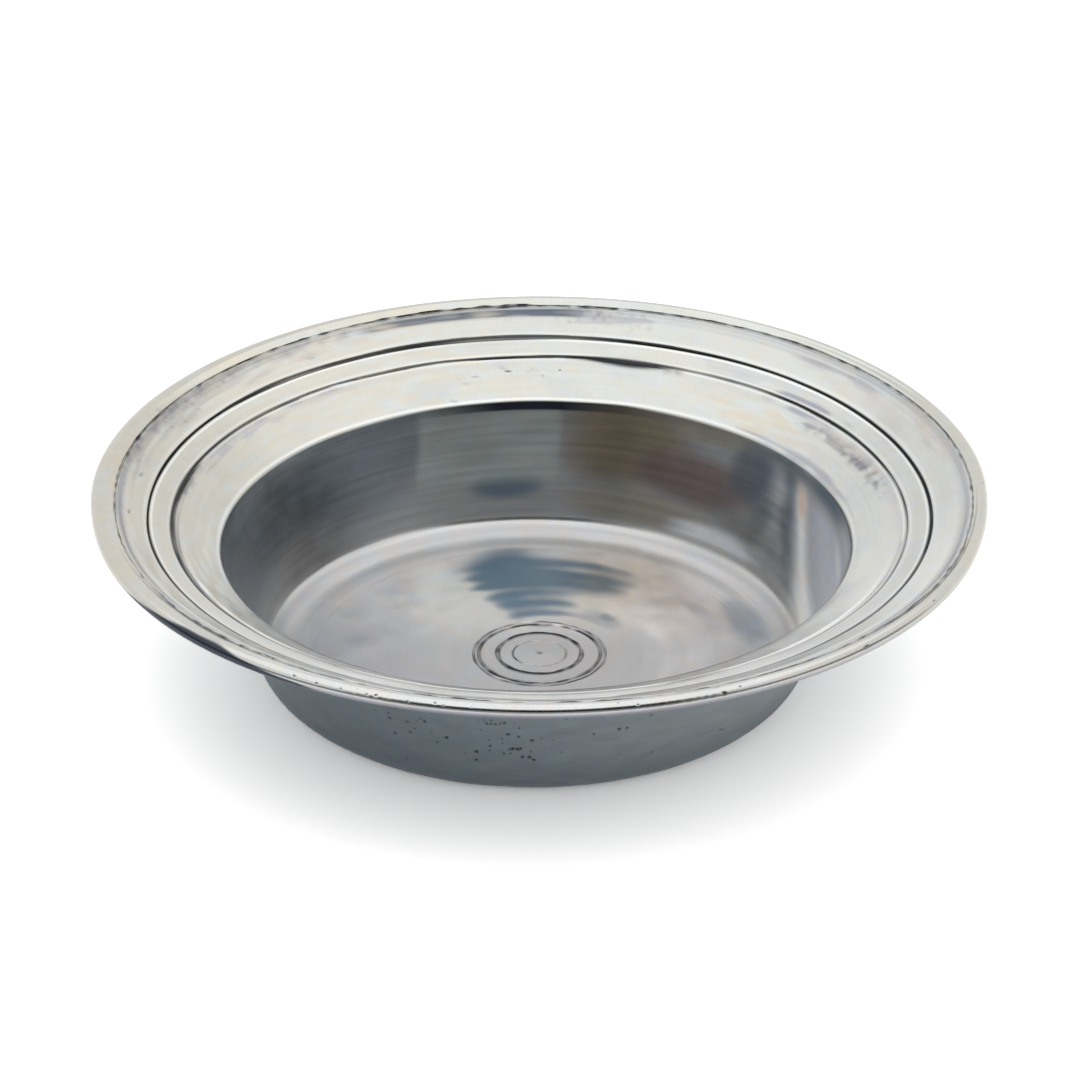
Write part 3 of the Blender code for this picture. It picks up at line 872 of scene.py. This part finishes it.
def floor_tone(radius, height, angle):
    """The well's floor, painted dim in front and pale behind, with painted reflections drawn out a little
    along the turning direction.
    """
    mottle = clouds(radius, angle, 147, 40, (14, 60))
    drawn = waves(angle, radius, 148, 30, (1, 4), (5, 20)) * ease(radius, 12, 32)
    paint = Paint(mottle.shape, FLOOR_SILVER)
    y = radius * np.sin(angle)
    # Painted shade: dimmer towards the front
    paint.lay(FLOOR_SHADED, ease(-y, -25, 25) * 0.9)
    # Painted light: paler towards the back
    pale = ease(y, 0, 42) * 0.95
    paint.lay(FLOOR_LIT, pale * (1 - 0.8 * ease(radius, 75, 82)))
    # Painted reflections in soft patches
    paint.stain_or_shading(FLOOR_PAINTED_REFLECTIONS, radius, angle, mottle + 0.8 * drawn)
    paint.shade(1 + 0.008 * drawn + 0.012 * mottle)
    paint.lay(SOIL, 0.9 * np.exp(-((radius / CENTRE_PIT) ** 2)) * (height > FLOOR_TOP - 1))
    return paint.field


def bead_tone(radius, height, angle):
    """The moulding: stained rim silver above, and painted shade below its front side and underneath."""
    along = radius + height
    mottle = waves(angle, along, 149, 40, (4, 30), (6, 30))
    paint = Paint(mottle.shape, BEAD_SILVER)
    paint.lay(RIM_SILVER, share_around(angle, 0, (80, 50, 0.9)))
    # Staining, with painted shade in the coves and one painted highlight on the front
    paint.stain_or_shading(RIM_STAINS_AND_SHADING, radius, angle, mottle)
    # Painted reflection: the front turns a cooler silver
    paint.lay(FRONT_REFLECTION_TINT, share_around(angle, 0, (-92, 48, 0.9)))
    paint.shade(1 + 0.012 * mottle)
    # Painted shade: the lower front of the moulding lavender and plum
    low = 1 - ease(height, BEAD_CENTRE[1] - 0.9, BEAD_CENTRE[1] + 0.7)
    paint.lay(LAVENDER, low * share_around(angle, 0.3, (-95, 45, 0.6)))
    paint.lay(PLUM, low * share_around(angle, 0, (-92, 34, 0.9)))
    # Painted shade: darker underneath
    paint.lay(OUTSIDE_SHADED, (1 - ease(height, BEAD_CENTRE[1] - 2.1, BEAD_CENTRE[1] - 1.0)) * 0.4)
    # Painted shade: the lower part dark at the front left
    lobe = around(angle, 0, (-137, 15, 1.0))
    edge = BEAD_CENTRE[1] - 1.2 + 3.2 * lobe + 0.12 * wobble(angle, 151, 8, 60)
    shade = ease(lobe, 0.05, 0.3) * (1 - ease(height, edge - 0.3, edge + 0.3))
    paint.lay(NAVY, 0.95 * shade)
    return paint.field


def grime(radius, height, angle):
    """Where corrosion and old dirt smudge the rim."""
    clean = np.ones(np.broadcast(radius, angle).shape)
    for turn, far, size, strength in RIM_GRIME:
        near = beside(angle, turn, far, size)
        off = ((wrapped(angle[near] - turn) * far) ** 2 + (radius[near] - far) ** 2) / size ** 2
        clean[near] *= 1 - np.clip(strength, 0, 1) * np.exp(-off)
    return (1 - clean) * (height > LIP[1])


def warp(radius, height, angle):
    """The bowl's hand-made unevenness: places in mm, for points given by radius, height and angle."""
    above_groove = 1 - ease(radius, OUTER_GROOVE[0] - 7, OUTER_GROOVE[0] + 2)
    by_lip = (1 - ease(radius, LIP[0] + 1, INNER_GROOVE[0] + 2)) * ease(height, 12, 40)
    at_seam = ease(radius, OUTER_GROOVE[0], BEAD_SEAM.mouth[0])
    at_seam = at_seam * (1 - ease(radius, BEAD_SEAM.mouth[0], RIM_RADIUS))
    at_edge = ease(radius, OUTER_GROOVE[0], RIM_RADIUS)
    low = (1 - ease(height, 12, LIP[1])) * ease(radius, 30, 70)

    lip_turn = angle - math.radians(200)
    lip_oval = 2 * (angle - math.radians(35))
    out = by_lip * (1.1 * np.cos(lip_turn) + 0.55 * np.cos(lip_oval)) + at_seam * 1.4 * np.cos(angle)
    out = out - at_edge * around(angle, 0, (-8, 14, 0.9), (188, 12, 0.7))
    out = out + by_lip * around(angle, 0, (73, 6, 0.5))
    up = -0.8 * np.sin(angle) * above_groove * ease(height, 12, 40)
    up -= at_edge * 0.08
    x = (radius + out) * np.cos(angle) - 2.3 * low
    y = (radius + out) * np.sin(angle)
    return x, y, height + up


def mesh_of(name, places, faces, sizes):
    """A mesh from numpy arrays: places in mm, corner numbers one face after another, corners per face."""
    mesh = bpy.data.meshes.new(name)
    mesh.vertices.add(len(places))
    mesh.vertices.foreach_set("co", (places * MM).astype(np.float32).ravel())
    mesh.loops.add(len(faces))
    mesh.loops.foreach_set("vertex_index", faces.astype(np.int32))
    mesh.polygons.add(len(sizes))
    mesh.polygons.foreach_set("loop_start", np.concatenate([[0], np.cumsum(sizes)[:-1]]).astype(np.int32))
    mesh.update(calc_edges=True)
    mesh.validate()
    return mesh


def carry(mesh, name, values):
    """Stores a number, a place or a colour for each point of the mesh, for the material to read."""
    kinds = {(): ("FLOAT", "value"), (3,): ("FLOAT_VECTOR", "vector"), (4,): ("FLOAT_COLOR", "color")}
    kind, field = kinds[values.shape[1:]]
    layer = mesh.attributes.new(name, kind, "POINT")
    layer.data.foreach_set(field, values.astype(np.float32).ravel())


def add_object(name, data):
    thing = bpy.data.objects.new(name, data)
    bpy.context.scene.collection.objects.link(thing)
    return thing


def graded_angles(coarse, *zones):
    """Angles round the bowl, a coarse step apart. Each finer zone has a middle, a spread and its step.

    All of these are in degrees. The angles come back in radians.
    """
    turn = np.linspace(0, 360, 7201)
    spacing = np.full(turn.shape, float(coarse))
    for middle, spread, step in zones:
        off = (turn - middle + 180) % 360 - 180
        spacing = np.minimum(spacing, coarse + (step - coarse) * np.exp(-((off / spread) ** 6)))
    count = np.concatenate([[0], np.cumsum(np.diff(turn) / spacing[1:])])
    steps = round(count[-1])
    return np.radians(np.interp(np.arange(steps) * count[-1] / steps, count, turn))


def turned(node, material, sections, angles):
    """Turns an outline into one piece. A section is its points, its relief, its tone and how dull it is.

    How dull is a number or, like the relief and the tone, a function of the radius, height and angle.
    """
    outline = np.array([point for points, _, _, _ in sections for point in points])
    solid = outline[0, 0] < 1e-6
    forward = np.roll(outline, -1, axis=0) - outline
    backward = outline - np.roll(outline, 1, axis=0)
    if solid:
        forward[-1] = backward[-1]
        backward[0] = forward[0]
    along = forward / np.linalg.norm(forward, axis=1)[:, None]
    along = along + backward / np.linalg.norm(backward, axis=1)[:, None]
    along /= np.linalg.norm(along, axis=1)[:, None]
    radius = np.broadcast_to(outline[:, 0], (len(angles), len(outline)))
    height = np.broadcast_to(outline[:, 1], radius.shape)
    angle = angles[:, None]
    sink, dirt, dull = (np.zeros(radius.shape) for _ in range(3))
    tones = np.ones((*radius.shape, 4))
    start = 0
    for points, relief, tone, matt in sections:
        part = slice(start, start + len(points))
        place = radius[:, part], height[:, part], angle
        sink[:, part], dirt[:, part] = relief(*place)
        tones[:, part, :3] = tone(*place)
        dull[:, part] = matt(*place) if callable(matt) else matt
        start += len(points)
    specks = grime(radius, height, angle)
    places = np.stack(warp(radius + sink * along[:, 1], height - sink * along[:, 0], angle), axis=-1)
    spots = np.stack([radius * np.cos(angle), radius * np.sin(angle), height], axis=-1)

    rounds, count = radius.shape
    number = np.arange(rounds * count).reshape(rounds, count)
    following = np.roll(number, -1, axis=0)
    keep = np.ones((rounds, count), bool)
    triangles = []
    if solid:
        # Both ends lie on the axis, so each is one point with triangles round it
        quads = np.stack([number[:, 1:-2], number[:, 2:-1], following[:, 2:-1], following[:, 1:-2]], axis=-1)
        first = np.stack([np.full(rounds, 0), number[:, 1], following[:, 1]], axis=-1)
        last = np.stack([number[:, -2], np.full(rounds, count - 1), following[:, -2]], axis=-1)
        triangles = [first.ravel(), last.ravel()]
        keep[1:, 0] = keep[1:, -1] = False
    else:
        ahead, ahead_next = np.roll(number, -1, axis=1), np.roll(following, -1, axis=1)
        quads = np.stack([number, ahead, ahead_next, following], axis=-1)
    kept = np.flatnonzero(keep)
    renumbered = np.cumsum(keep) - 1
    corners = renumbered[np.concatenate([quads.ravel(), *triangles])]
    sizes = np.repeat([4, 3], [quads.size // 4, rounds * len(triangles)])
    mesh = mesh_of(node + "_metal", places.reshape(-1, 3)[kept], corners, sizes)
    carry(mesh, "turned", spots.reshape(-1, 3)[kept])
    carry(mesh, "dirt", dirt.ravel()[kept])
    carry(mesh, "dull", dull.ravel()[kept])
    carry(mesh, "grime", specks.ravel()[kept])
    carry(mesh, "tone", np.clip(tones, 0, 1).reshape(-1, 4)[kept])
    mesh.shade_smooth()
    mesh.set_sharp_from_angle(angle=SHARP_ANGLE)
    mesh.materials.append(material)
    piece = add_object(node + "_metal", mesh)
    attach(piece, "root")
    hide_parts(node)


class Graph:
    """Adds nodes to one material and joins them."""

    def __init__(self, name):
        self.material = bpy.data.materials.new(name)
        self.material.use_nodes = True
        self.tree = self.material.node_tree
        self.shader = self.tree.nodes["Principled BSDF"]

    def feed(self, node, inputs):
        """Joins each input, by its name or number, to another node's output, or gives it a value."""
        for key, value in inputs.items():
            if isinstance(value, bpy.types.NodeSocket):
                self.tree.links.new(value, node.inputs[key])
            else:
                node.inputs[key].default_value = value

    def add(self, kind, inputs=None, **settings):
        node = self.tree.nodes.new(kind)
        for setting, value in settings.items():
            setattr(node, setting, value)
        self.feed(node, inputs or {})
        return node

    def show(self, output):
        """Takes another shader in place of the first one."""
        self.tree.nodes.remove(self.shader)
        self.feed(self.tree.nodes["Material Output"], {"Surface": output})

    def math(self, operation, *values, clamp=False):
        inputs = dict(enumerate(values))
        return self.add("ShaderNodeMath", inputs, operation=operation, use_clamp=clamp).outputs[0]

    def times(self, *values, clamp=False):
        return self.math("MULTIPLY", *values, clamp=clamp)

    def plus(self, *values, clamp=False):
        return self.math("ADD", *values, clamp=clamp)

    def noise(self, place, scale, detail=3.0, roughness=0.55):
        inputs = {"Vector": place, "Scale": scale, "Detail": detail, "Roughness": roughness}
        return self.add("ShaderNodeTexNoise", inputs).outputs["Fac"]

    def window(self, value, low, high, bottom=0.0, top=1.0):
        """The value spread from low and high to bottom and top, smoothly, and held outside them."""
        inputs = dict(enumerate((value, low, high, bottom, top)))
        return self.add("ShaderNodeMapRange", inputs, interpolation_type="SMOOTHSTEP").outputs[0]

    def blend(self, share, first, second):
        first, second = ((*colour, 1) if isinstance(colour, tuple) else colour for colour in (first, second))
        return self.add("ShaderNodeMix", {"Factor": share, 6: first, 7: second}, data_type="RGBA").outputs[2]

    def attribute(self, name, output="Fac"):
        return self.add("ShaderNodeAttribute", attribute_name=name).outputs[output]


def pewter(name, roughness, turning, lines, grain, contrast=1.0):
    """Satin pewter: the stored tone with fine turning lines, a grain, and dark soil in the hollows.

    Lines and grain are their heights in mm. Turning is how far the lines draw the highlights out, and
    contrast is how much darker and lighter they are than the metal.
    """
    graph = Graph(name)
    place = graph.attribute("turned", "Vector")
    x, y, z = graph.add("ShaderNodeSeparateXYZ", {0: place}).outputs
    radius = graph.math("SQRT", graph.plus(graph.times(x, x), graph.times(y, y)))
    radius = graph.math("MAXIMUM", radius, 0.5)
    along = graph.plus(radius, z)
    far = graph.math("MAXIMUM", radius, 30.0)
    round_x = graph.math("DIVIDE", x, far)
    round_y = graph.math("DIVIDE", y, far)

    def drawn_out(per_mm, length, detail):
        """Noise drawn out along the turning direction."""
        across = graph.times(round_x, length), graph.times(round_y, length)
        spot = {0: across[0], 1: across[1], 2: graph.times(along, per_mm)}
        return graph.noise(graph.add("ShaderNodeCombineXYZ", spot).outputs[0], 1.0, detail)

    fine = drawn_out(3.1, 1.1, 2.0)
    drawn = drawn_out(0.55, 1.5, 3.0)
    patches = graph.noise(place, 0.16, 4.0, 0.6)
    specks = graph.noise(place, 2.0, 3.0, 0.6)
    dull = graph.attribute("dull")

    darkest, lightest = 1 - 0.020 * contrast, 1 + 0.015 * contrast
    shade = graph.window(drawn, 0.30, 0.70, darkest, lightest)
    shade = graph.times(shade, graph.window(fine, 0.25, 0.75, darkest, lightest))
    worn = graph.times(graph.math("MINIMUM", dull, 1.0), 0.75)
    shade = graph.plus(shade, graph.times(worn, graph.math("SUBTRACT", 1.0, shade)))
    shade = graph.times(shade, graph.window(patches, 0.30, 0.70, 0.975, 1.02))
    shade = graph.times(shade, graph.window(specks, 0.25, 0.75, 0.955, 1.035))
    tint = graph.blend(graph.window(graph.noise(place, 0.13, 3.0, 0.6), 0.38, 0.62), COOL_TINT, WARM_TINT)
    tone = {0: graph.attribute("tone", "Color"), 1: tint}
    tinted = graph.add("ShaderNodeVectorMath", tone, operation="MULTIPLY").outputs[0]
    shaded = {0: tinted, "Scale": shade}
    clean = graph.add("ShaderNodeVectorMath", shaded, operation="SCALE").outputs[0]
    soil = graph.times(graph.attribute("dirt"), graph.window(specks, 0.25, 0.60, 0.95, 1.0))
    smudge = graph.times(graph.attribute("grime"), graph.window(specks, 0.30, 0.70, 0.55, 1.0))
    clean = graph.blend(graph.times(smudge, 1.05, clamp=True), clean, SMUDGE)
    colour = graph.blend(soil, clean, SOIL)

    rough = graph.window(patches, 0.25, 0.75, roughness - 0.02, roughness + 0.04)
    rough = graph.plus(rough, graph.times(dull, 0.12))
    rough = graph.plus(rough, graph.times(soil, 0.3), clamp=True)

    coarse = graph.plus(1.0, graph.times(graph.math("MINIMUM", dull, 1.0), 1.5))
    height = graph.times(fine, lines)
    height = graph.plus(height, graph.times(drawn, lines * 1.5))
    height = graph.plus(height, graph.times(graph.times(specks, grain), coarse))
    bump = graph.add("ShaderNodeBump", {"Distance": MM, "Strength": 1.0, "Height": height})
    tangent = graph.add("ShaderNodeTangent", direction_type="RADIAL", axis="Z")
    graph.feed(graph.shader, {
        "Base Color": colour,
        "Metallic": 1.0,
        "Anisotropic": turning,
        "Roughness": rough,
        "Normal": bump.outputs[0],
        "Tangent": tangent.outputs[0],
    })
    return graph.material


def plain(points):
    """A section that isn't worked any further, grey and dull like the underside."""
    return points, plain_relief, outside_tone, 1


def make_bead():
    material = pewter("bead_metal", BURNISHED, 0.2, lines=0.0008, grain=0.0026)
    top = arc(BEAD_CENTRE, (BEAD_WIDTH / 2, BEAD_THICKNESS / 2), BEAD_SHOULDER, -math.pi / 2, 48)
    bottom = (BEAD_CENTRE[0], BEAD_CENTRE[1] - BEAD_THICKNESS / 2)
    butt = run(bottom, BEAD_SEAM.back(1), 0.6) + [BEAD_SEAM.back(1), BEAD_SEAM.foot(1)]
    angles = graded_angles(0.40, (-108, 14, 0.15), (-72, 14, 0.15))
    turned("edge_bead", material, [(top, bead_relief, bead_tone, 0), plain(butt)], angles)


def make_bead_solder():
    material = pewter("seam_metal", SATIN, 0.1, lines=0.0008, grain=0.0018)
    section = (BEAD_SEAM.strip(22), crack_relief(SEAM_CRACK, 0.06), rim_tone, 0)
    turned("bead_solder", material, [section], graded_angles(0.15))


def make_flange():
    material = pewter("flange_metal", SATIN, 0.1, lines=0.0009, grain=0.0016)
    under = [BEAD_SEAM.edge(-1), BEAD_SEAM.foot(-1)]
    under += run(BEAD_SEAM.back(-1), OUTER_UNDER, 3.0) + run(OUTER_UNDER, INNER_UNDER, 3.0)
    fillet, fillet_end = rounded(INNER_UNDER, UNDER_CORNER, LIP_SEAM.edge(1), UNDER_RIM_ROUND, 5)
    under += run(INNER_UNDER, fillet[0], 3.0) + fillet + run(fillet_end, LIP_SEAM.edge(1), 0.8)
    under += [LIP_SEAM.edge(1), LIP_SEAM.foot(1)]
    lip, lip_end = rounded(LIP_SEAM.back(1), LIP, INNER_GROOVE, LIP_ROUND, 16)
    top = run(LIP_SEAM.back(1), lip[0], 0.6) + lip
    top += run(lip_end, INNER_GROOVE, 1.0, 0.26, (SMUDGED_RADIUS,), 1.9)
    places = (FLANGE_EDGE[0] - 1.2, OUTER_GROOVE[0], INNER_GROOVE[0], INNER_GROOVE[0] - 2.6)
    top += run(INNER_GROOVE, OUTER_GROOVE, 0.9, 0.19, places, 1.3)
    top += run(OUTER_GROOVE, BEAD_SEAM.edge(-1), 0.9, 0.19, places, 1.3)
    sections = [(under, under_relief, outside_tone, 1), (top, upper_relief, rim_tone, wall_dull)]
    angles = graded_angles(1.0, (28, 22, 0.20), (80, 14, 0.20), (149, 10, 0.30))
    turned("rim_flange", material, sections, angles)


def make_lip_solder():
    material = pewter("lip_solder_metal", DULL, 0.2, lines=0.0008, grain=0.0030)
    turned("lip_solder", material, [plain(LIP_SEAM.strip(8))], graded_angles(1.0))


def make_wall():
    material = pewter("wall_metal", SATIN, 0.1, lines=0.0012, grain=0.0014, contrast=1.9)
    corner_top = (
        CORNER_CENTRE[0] + CORNER_ROUND * math.cos(WALL_LEAN),
        CORNER_CENTRE[1] - CORNER_ROUND * math.sin(WALL_LEAN),
    )
    outside = run(LIP_SEAM.edge(-1), corner_top, 0.55)
    outside += arc(CORNER_CENTRE, (CORNER_ROUND, CORNER_ROUND), -WALL_LEAN, -math.pi / 2, 18)
    rest = [(CORNER_CENTRE[0], 0), (REST_INNER, 0), (REST_INNER - RECESS_SLOPE, FLOOR_RECESS)]
    rest += [FLOOR_SEAM.edge(1), FLOOR_SEAM.foot(1)]
    down, out = math.sin(COVE_TURN), math.cos(COVE_TURN)
    cove_top = FLOOR_TOP + COVE_WIDE * (1 - down) + COVE_TIGHT * (down - math.sin(WALL_LEAN))
    cove_end = inner_wall(cove_top)
    tight = (cove_end[0] - COVE_TIGHT * math.cos(WALL_LEAN), cove_top + COVE_TIGHT * math.sin(WALL_LEAN))
    wide = (tight[0] - (COVE_WIDE - COVE_TIGHT) * out, FLOOR_TOP + COVE_WIDE)
    inside = run(FLOOR_SEAM.back(1), (wide[0], FLOOR_TOP), 0.5, 0.14, (FLOOR_RADIUS,), 0.5)
    inside += arc(wide, (COVE_WIDE, COVE_WIDE), -math.pi / 2, -COVE_TURN, 16)
    inside += arc(tight, (COVE_TIGHT, COVE_TIGHT), -COVE_TURN, -WALL_LEAN, 8)
    inside += run(cove_end, LIP_SEAM.back(-1), 1.0) + [LIP_SEAM.back(-1)]
    sections = [(outside, under_relief, outside_tone, 1), plain(rest)]
    sections += [(inside, upper_relief, wall_tone, wall_dull), plain([LIP_SEAM.foot(-1)])]
    turned("well_wall", material, sections, graded_angles(1.0, (-92, 34, 0.20)))


def make_floor():
    material = pewter("floor_metal", SATIN, 0.05, lines=0.0006, grain=0.0014, contrast=0.6)
    hole = (PLUG_SEAM.mouth[0] + SHUT, FLOOR_RECESS)
    under = [FLOOR_SEAM.foot(-1), *run(FLOOR_SEAM.edge(-1), hole, 4.0), hole, PLUG_SEAM.foot(1)]
    places = (INNER_RING, OUTER_RING, FLOOR_RADIUS)
    top = run(PLUG_SEAM.edge(1), FLOOR_SEAM.back(-1), 1.4, 0.14, places, 1.2) + [FLOOR_SEAM.back(-1)]
    sections = [plain(under), (top, upper_relief, floor_tone, 0)]
    turned("well_floor", material, sections, graded_angles(0.60))


def make_plug_solder():
    material = pewter("plug_solder_metal", SATIN, 0.1, lines=0.0010, grain=0.0022)
    section = (PLUG_SEAM.strip(18), crack_relief(PLUG_CRACK, 0), floor_tone, 0)
    turned("plug_solder", material, [section], graded_angles(0.75))


def make_plug():
    material = pewter("plug_metal", SATIN, 0.1, lines=0.0012, grain=0.0014)
    top = [(0, FLOOR_TOP - 0.4), (CENTRE_DOT * 0.5, FLOOR_TOP - 0.25), (CENTRE_DOT, FLOOR_TOP)]
    top += run((CENTRE_DOT + 0.1, FLOOR_TOP), PLUG_SEAM.edge(-1), 0.7, 0.1, (PLUG_RING,), 1.2)
    edge = (PLUG_SEAM.mouth[0] - SHUT, FLOOR_RECESS)
    under = [PLUG_SEAM.foot(-1), *run(edge, (0, FLOOR_RECESS), 2.0), (0, FLOOR_RECESS)]
    sections = [(top + [PLUG_SEAM.edge(-1)], upper_relief, floor_tone, 0), plain(under)]
    turned("centre_plug", material, sections, graded_angles(1.0))


def make_floor_solder():
    material = pewter("floor_solder_metal", DULL + 0.02, 0.2, lines=0.0010, grain=0.0030)
    turned("floor_solder", material, [plain(FLOOR_SEAM.strip(8))], graded_angles(1.0))


def make_table():
    """A white table that keeps the bowl's shadow; the camera sees it lit up to plain white."""
    half, glow = 12.0, 0.11
    paint, seen_paint = (0.90, 0.90, 0.90), (1.52, 1.49, 1.465)
    mesh = bpy.data.meshes.new("table_top")
    corners = [(-half, -half, 0), (half, -half, 0), (half, half, 0), (-half, half, 0)]
    mesh.from_pydata(corners, [], [(0, 1, 2, 3)])
    table = add_object("table_top", mesh)
    graph = Graph("table_white")
    path = graph.add("ShaderNodeLightPath").outputs
    seen = graph.math("MAXIMUM", path["Is Camera Ray"], path["Is Glossy Ray"])
    seen = graph.math("MAXIMUM", seen, path["Is Transmission Ray"])
    colour = graph.blend(path["Is Camera Ray"], paint, seen_paint)
    matt = graph.add("ShaderNodeBsdfDiffuse", {"Color": colour})
    light = graph.add("ShaderNodeEmission", {"Strength": graph.times(seen, glow)})
    graph.show(graph.add("ShaderNodeAddShader", {0: matt.outputs[0], 1: light.outputs[0]}).outputs[0])
    mesh.materials.append(graph.material)


def make_dark_card():
    """A dark screen behind the camera, seen only in the metal: dim low down, dark above, open at its edges.

    It is part of a sphere. Sides and lifts are in degrees, as seen from the bowl.
    """
    far, across, top = 3.4, 120, 78
    columns, rows = 120, 78
    dim_end, dark_end = (19, 26), (52, 64)
    dark_reach, dim_reach, fade = 36, 92, 22
    points, cover, glow = [], [], []
    for row in range(rows + 1):
        lift = top * row / rows
        rise = math.radians(lift)
        low = 1 - ease(lift, *dim_end)
        reach = dark_reach + (dim_reach - dark_reach) * low
        for column in range(columns + 1):
            side = across * (2 * column / columns - 1)
            turn = math.radians(side)
            out = far * math.cos(rise)
            points.append((out * math.sin(turn), -out * math.cos(turn), far * math.sin(rise)))
            cover.append((1 - ease(abs(side), reach, reach + fade)) * (1 - ease(lift, *dark_end)))
            glow.append(0.02 + low * (0.40 - 0.15 * ease(abs(side), 8, 24)))
    starts = [row * (columns + 1) + column for row in range(rows) for column in range(columns)]
    mesh = bpy.data.meshes.new("dark_card")
    mesh.from_pydata(points, [], [(at, at + 1, at + columns + 2, at + columns + 1) for at in starts])
    carry(mesh, "cover", np.array(cover))
    carry(mesh, "glow", np.array(glow))
    mesh.shade_smooth()
    graph = Graph("dark_card")
    clear = graph.add("ShaderNodeBsdfTransparent")
    dark = graph.add("ShaderNodeEmission", {"Strength": graph.attribute("glow")})
    parts = {0: graph.attribute("cover"), 1: clear.outputs[0], 2: dark.outputs[0]}
    graph.show(graph.add("ShaderNodeMixShader", parts).outputs[0])
    mesh.materials.append(graph.material)
    card = add_object("dark_card", mesh)
    card.visible_camera = card.visible_diffuse = card.visible_shadow = card.visible_transmission = False


def make_world():
    """Plain white light from all round."""
    world = bpy.data.worlds.new("studio")
    bpy.context.scene.world = world
    world.use_nodes = True
    sky = world.node_tree.nodes["Background"]
    sky.inputs["Color"].default_value = (1, 1, 1, 1)
    sky.inputs["Strength"].default_value = 1.0


def make_lamp(name, place, size, power):
    """A square lamp that shines on the bowl."""
    light = bpy.data.lights.new(name, "AREA")
    light.shape = "SQUARE"
    light.size = size
    light.energy = power
    lamp = add_object(name, light)
    lamp.location = place
    lamp.rotation_mode = "QUATERNION"
    lamp.rotation_quaternion = (-Vector(place)).to_track_quat("-Z", "Y")


def make_camera():
    """The photograph's view: 27.4 degrees down on the middle of the rim, from 2 m."""
    distance, down, tilt = 2.0, math.radians(27.40), math.radians(27.84)
    photo_side, focal = 1079, 6000
    middle = (HEIGHT - BEAD_THICKNESS / 2) * MM
    lens = bpy.data.cameras.new("camera")
    lens.sensor_width = 36.0
    lens.lens = focal / photo_side * lens.sensor_width
    lens.clip_start, lens.clip_end = 0.1, 60
    camera = add_object("camera", lens)
    camera.location = (0, -distance * math.cos(down), middle + distance * math.sin(down))
    camera.rotation_euler = (math.pi / 2 - tilt, 0, 0)
    bpy.context.scene.camera = camera


make_bead()
make_bead_solder()
make_flange()
make_lip_solder()
make_wall()
make_floor()
make_plug_solder()
make_plug()
make_floor_solder()
make_table()
make_dark_card()
make_world()
make_lamp("top_light", place=(0, 0.15, 1.6), size=2.4, power=6.3)
make_camera()
bpy.context.scene.view_settings.view_transform = "Standard"
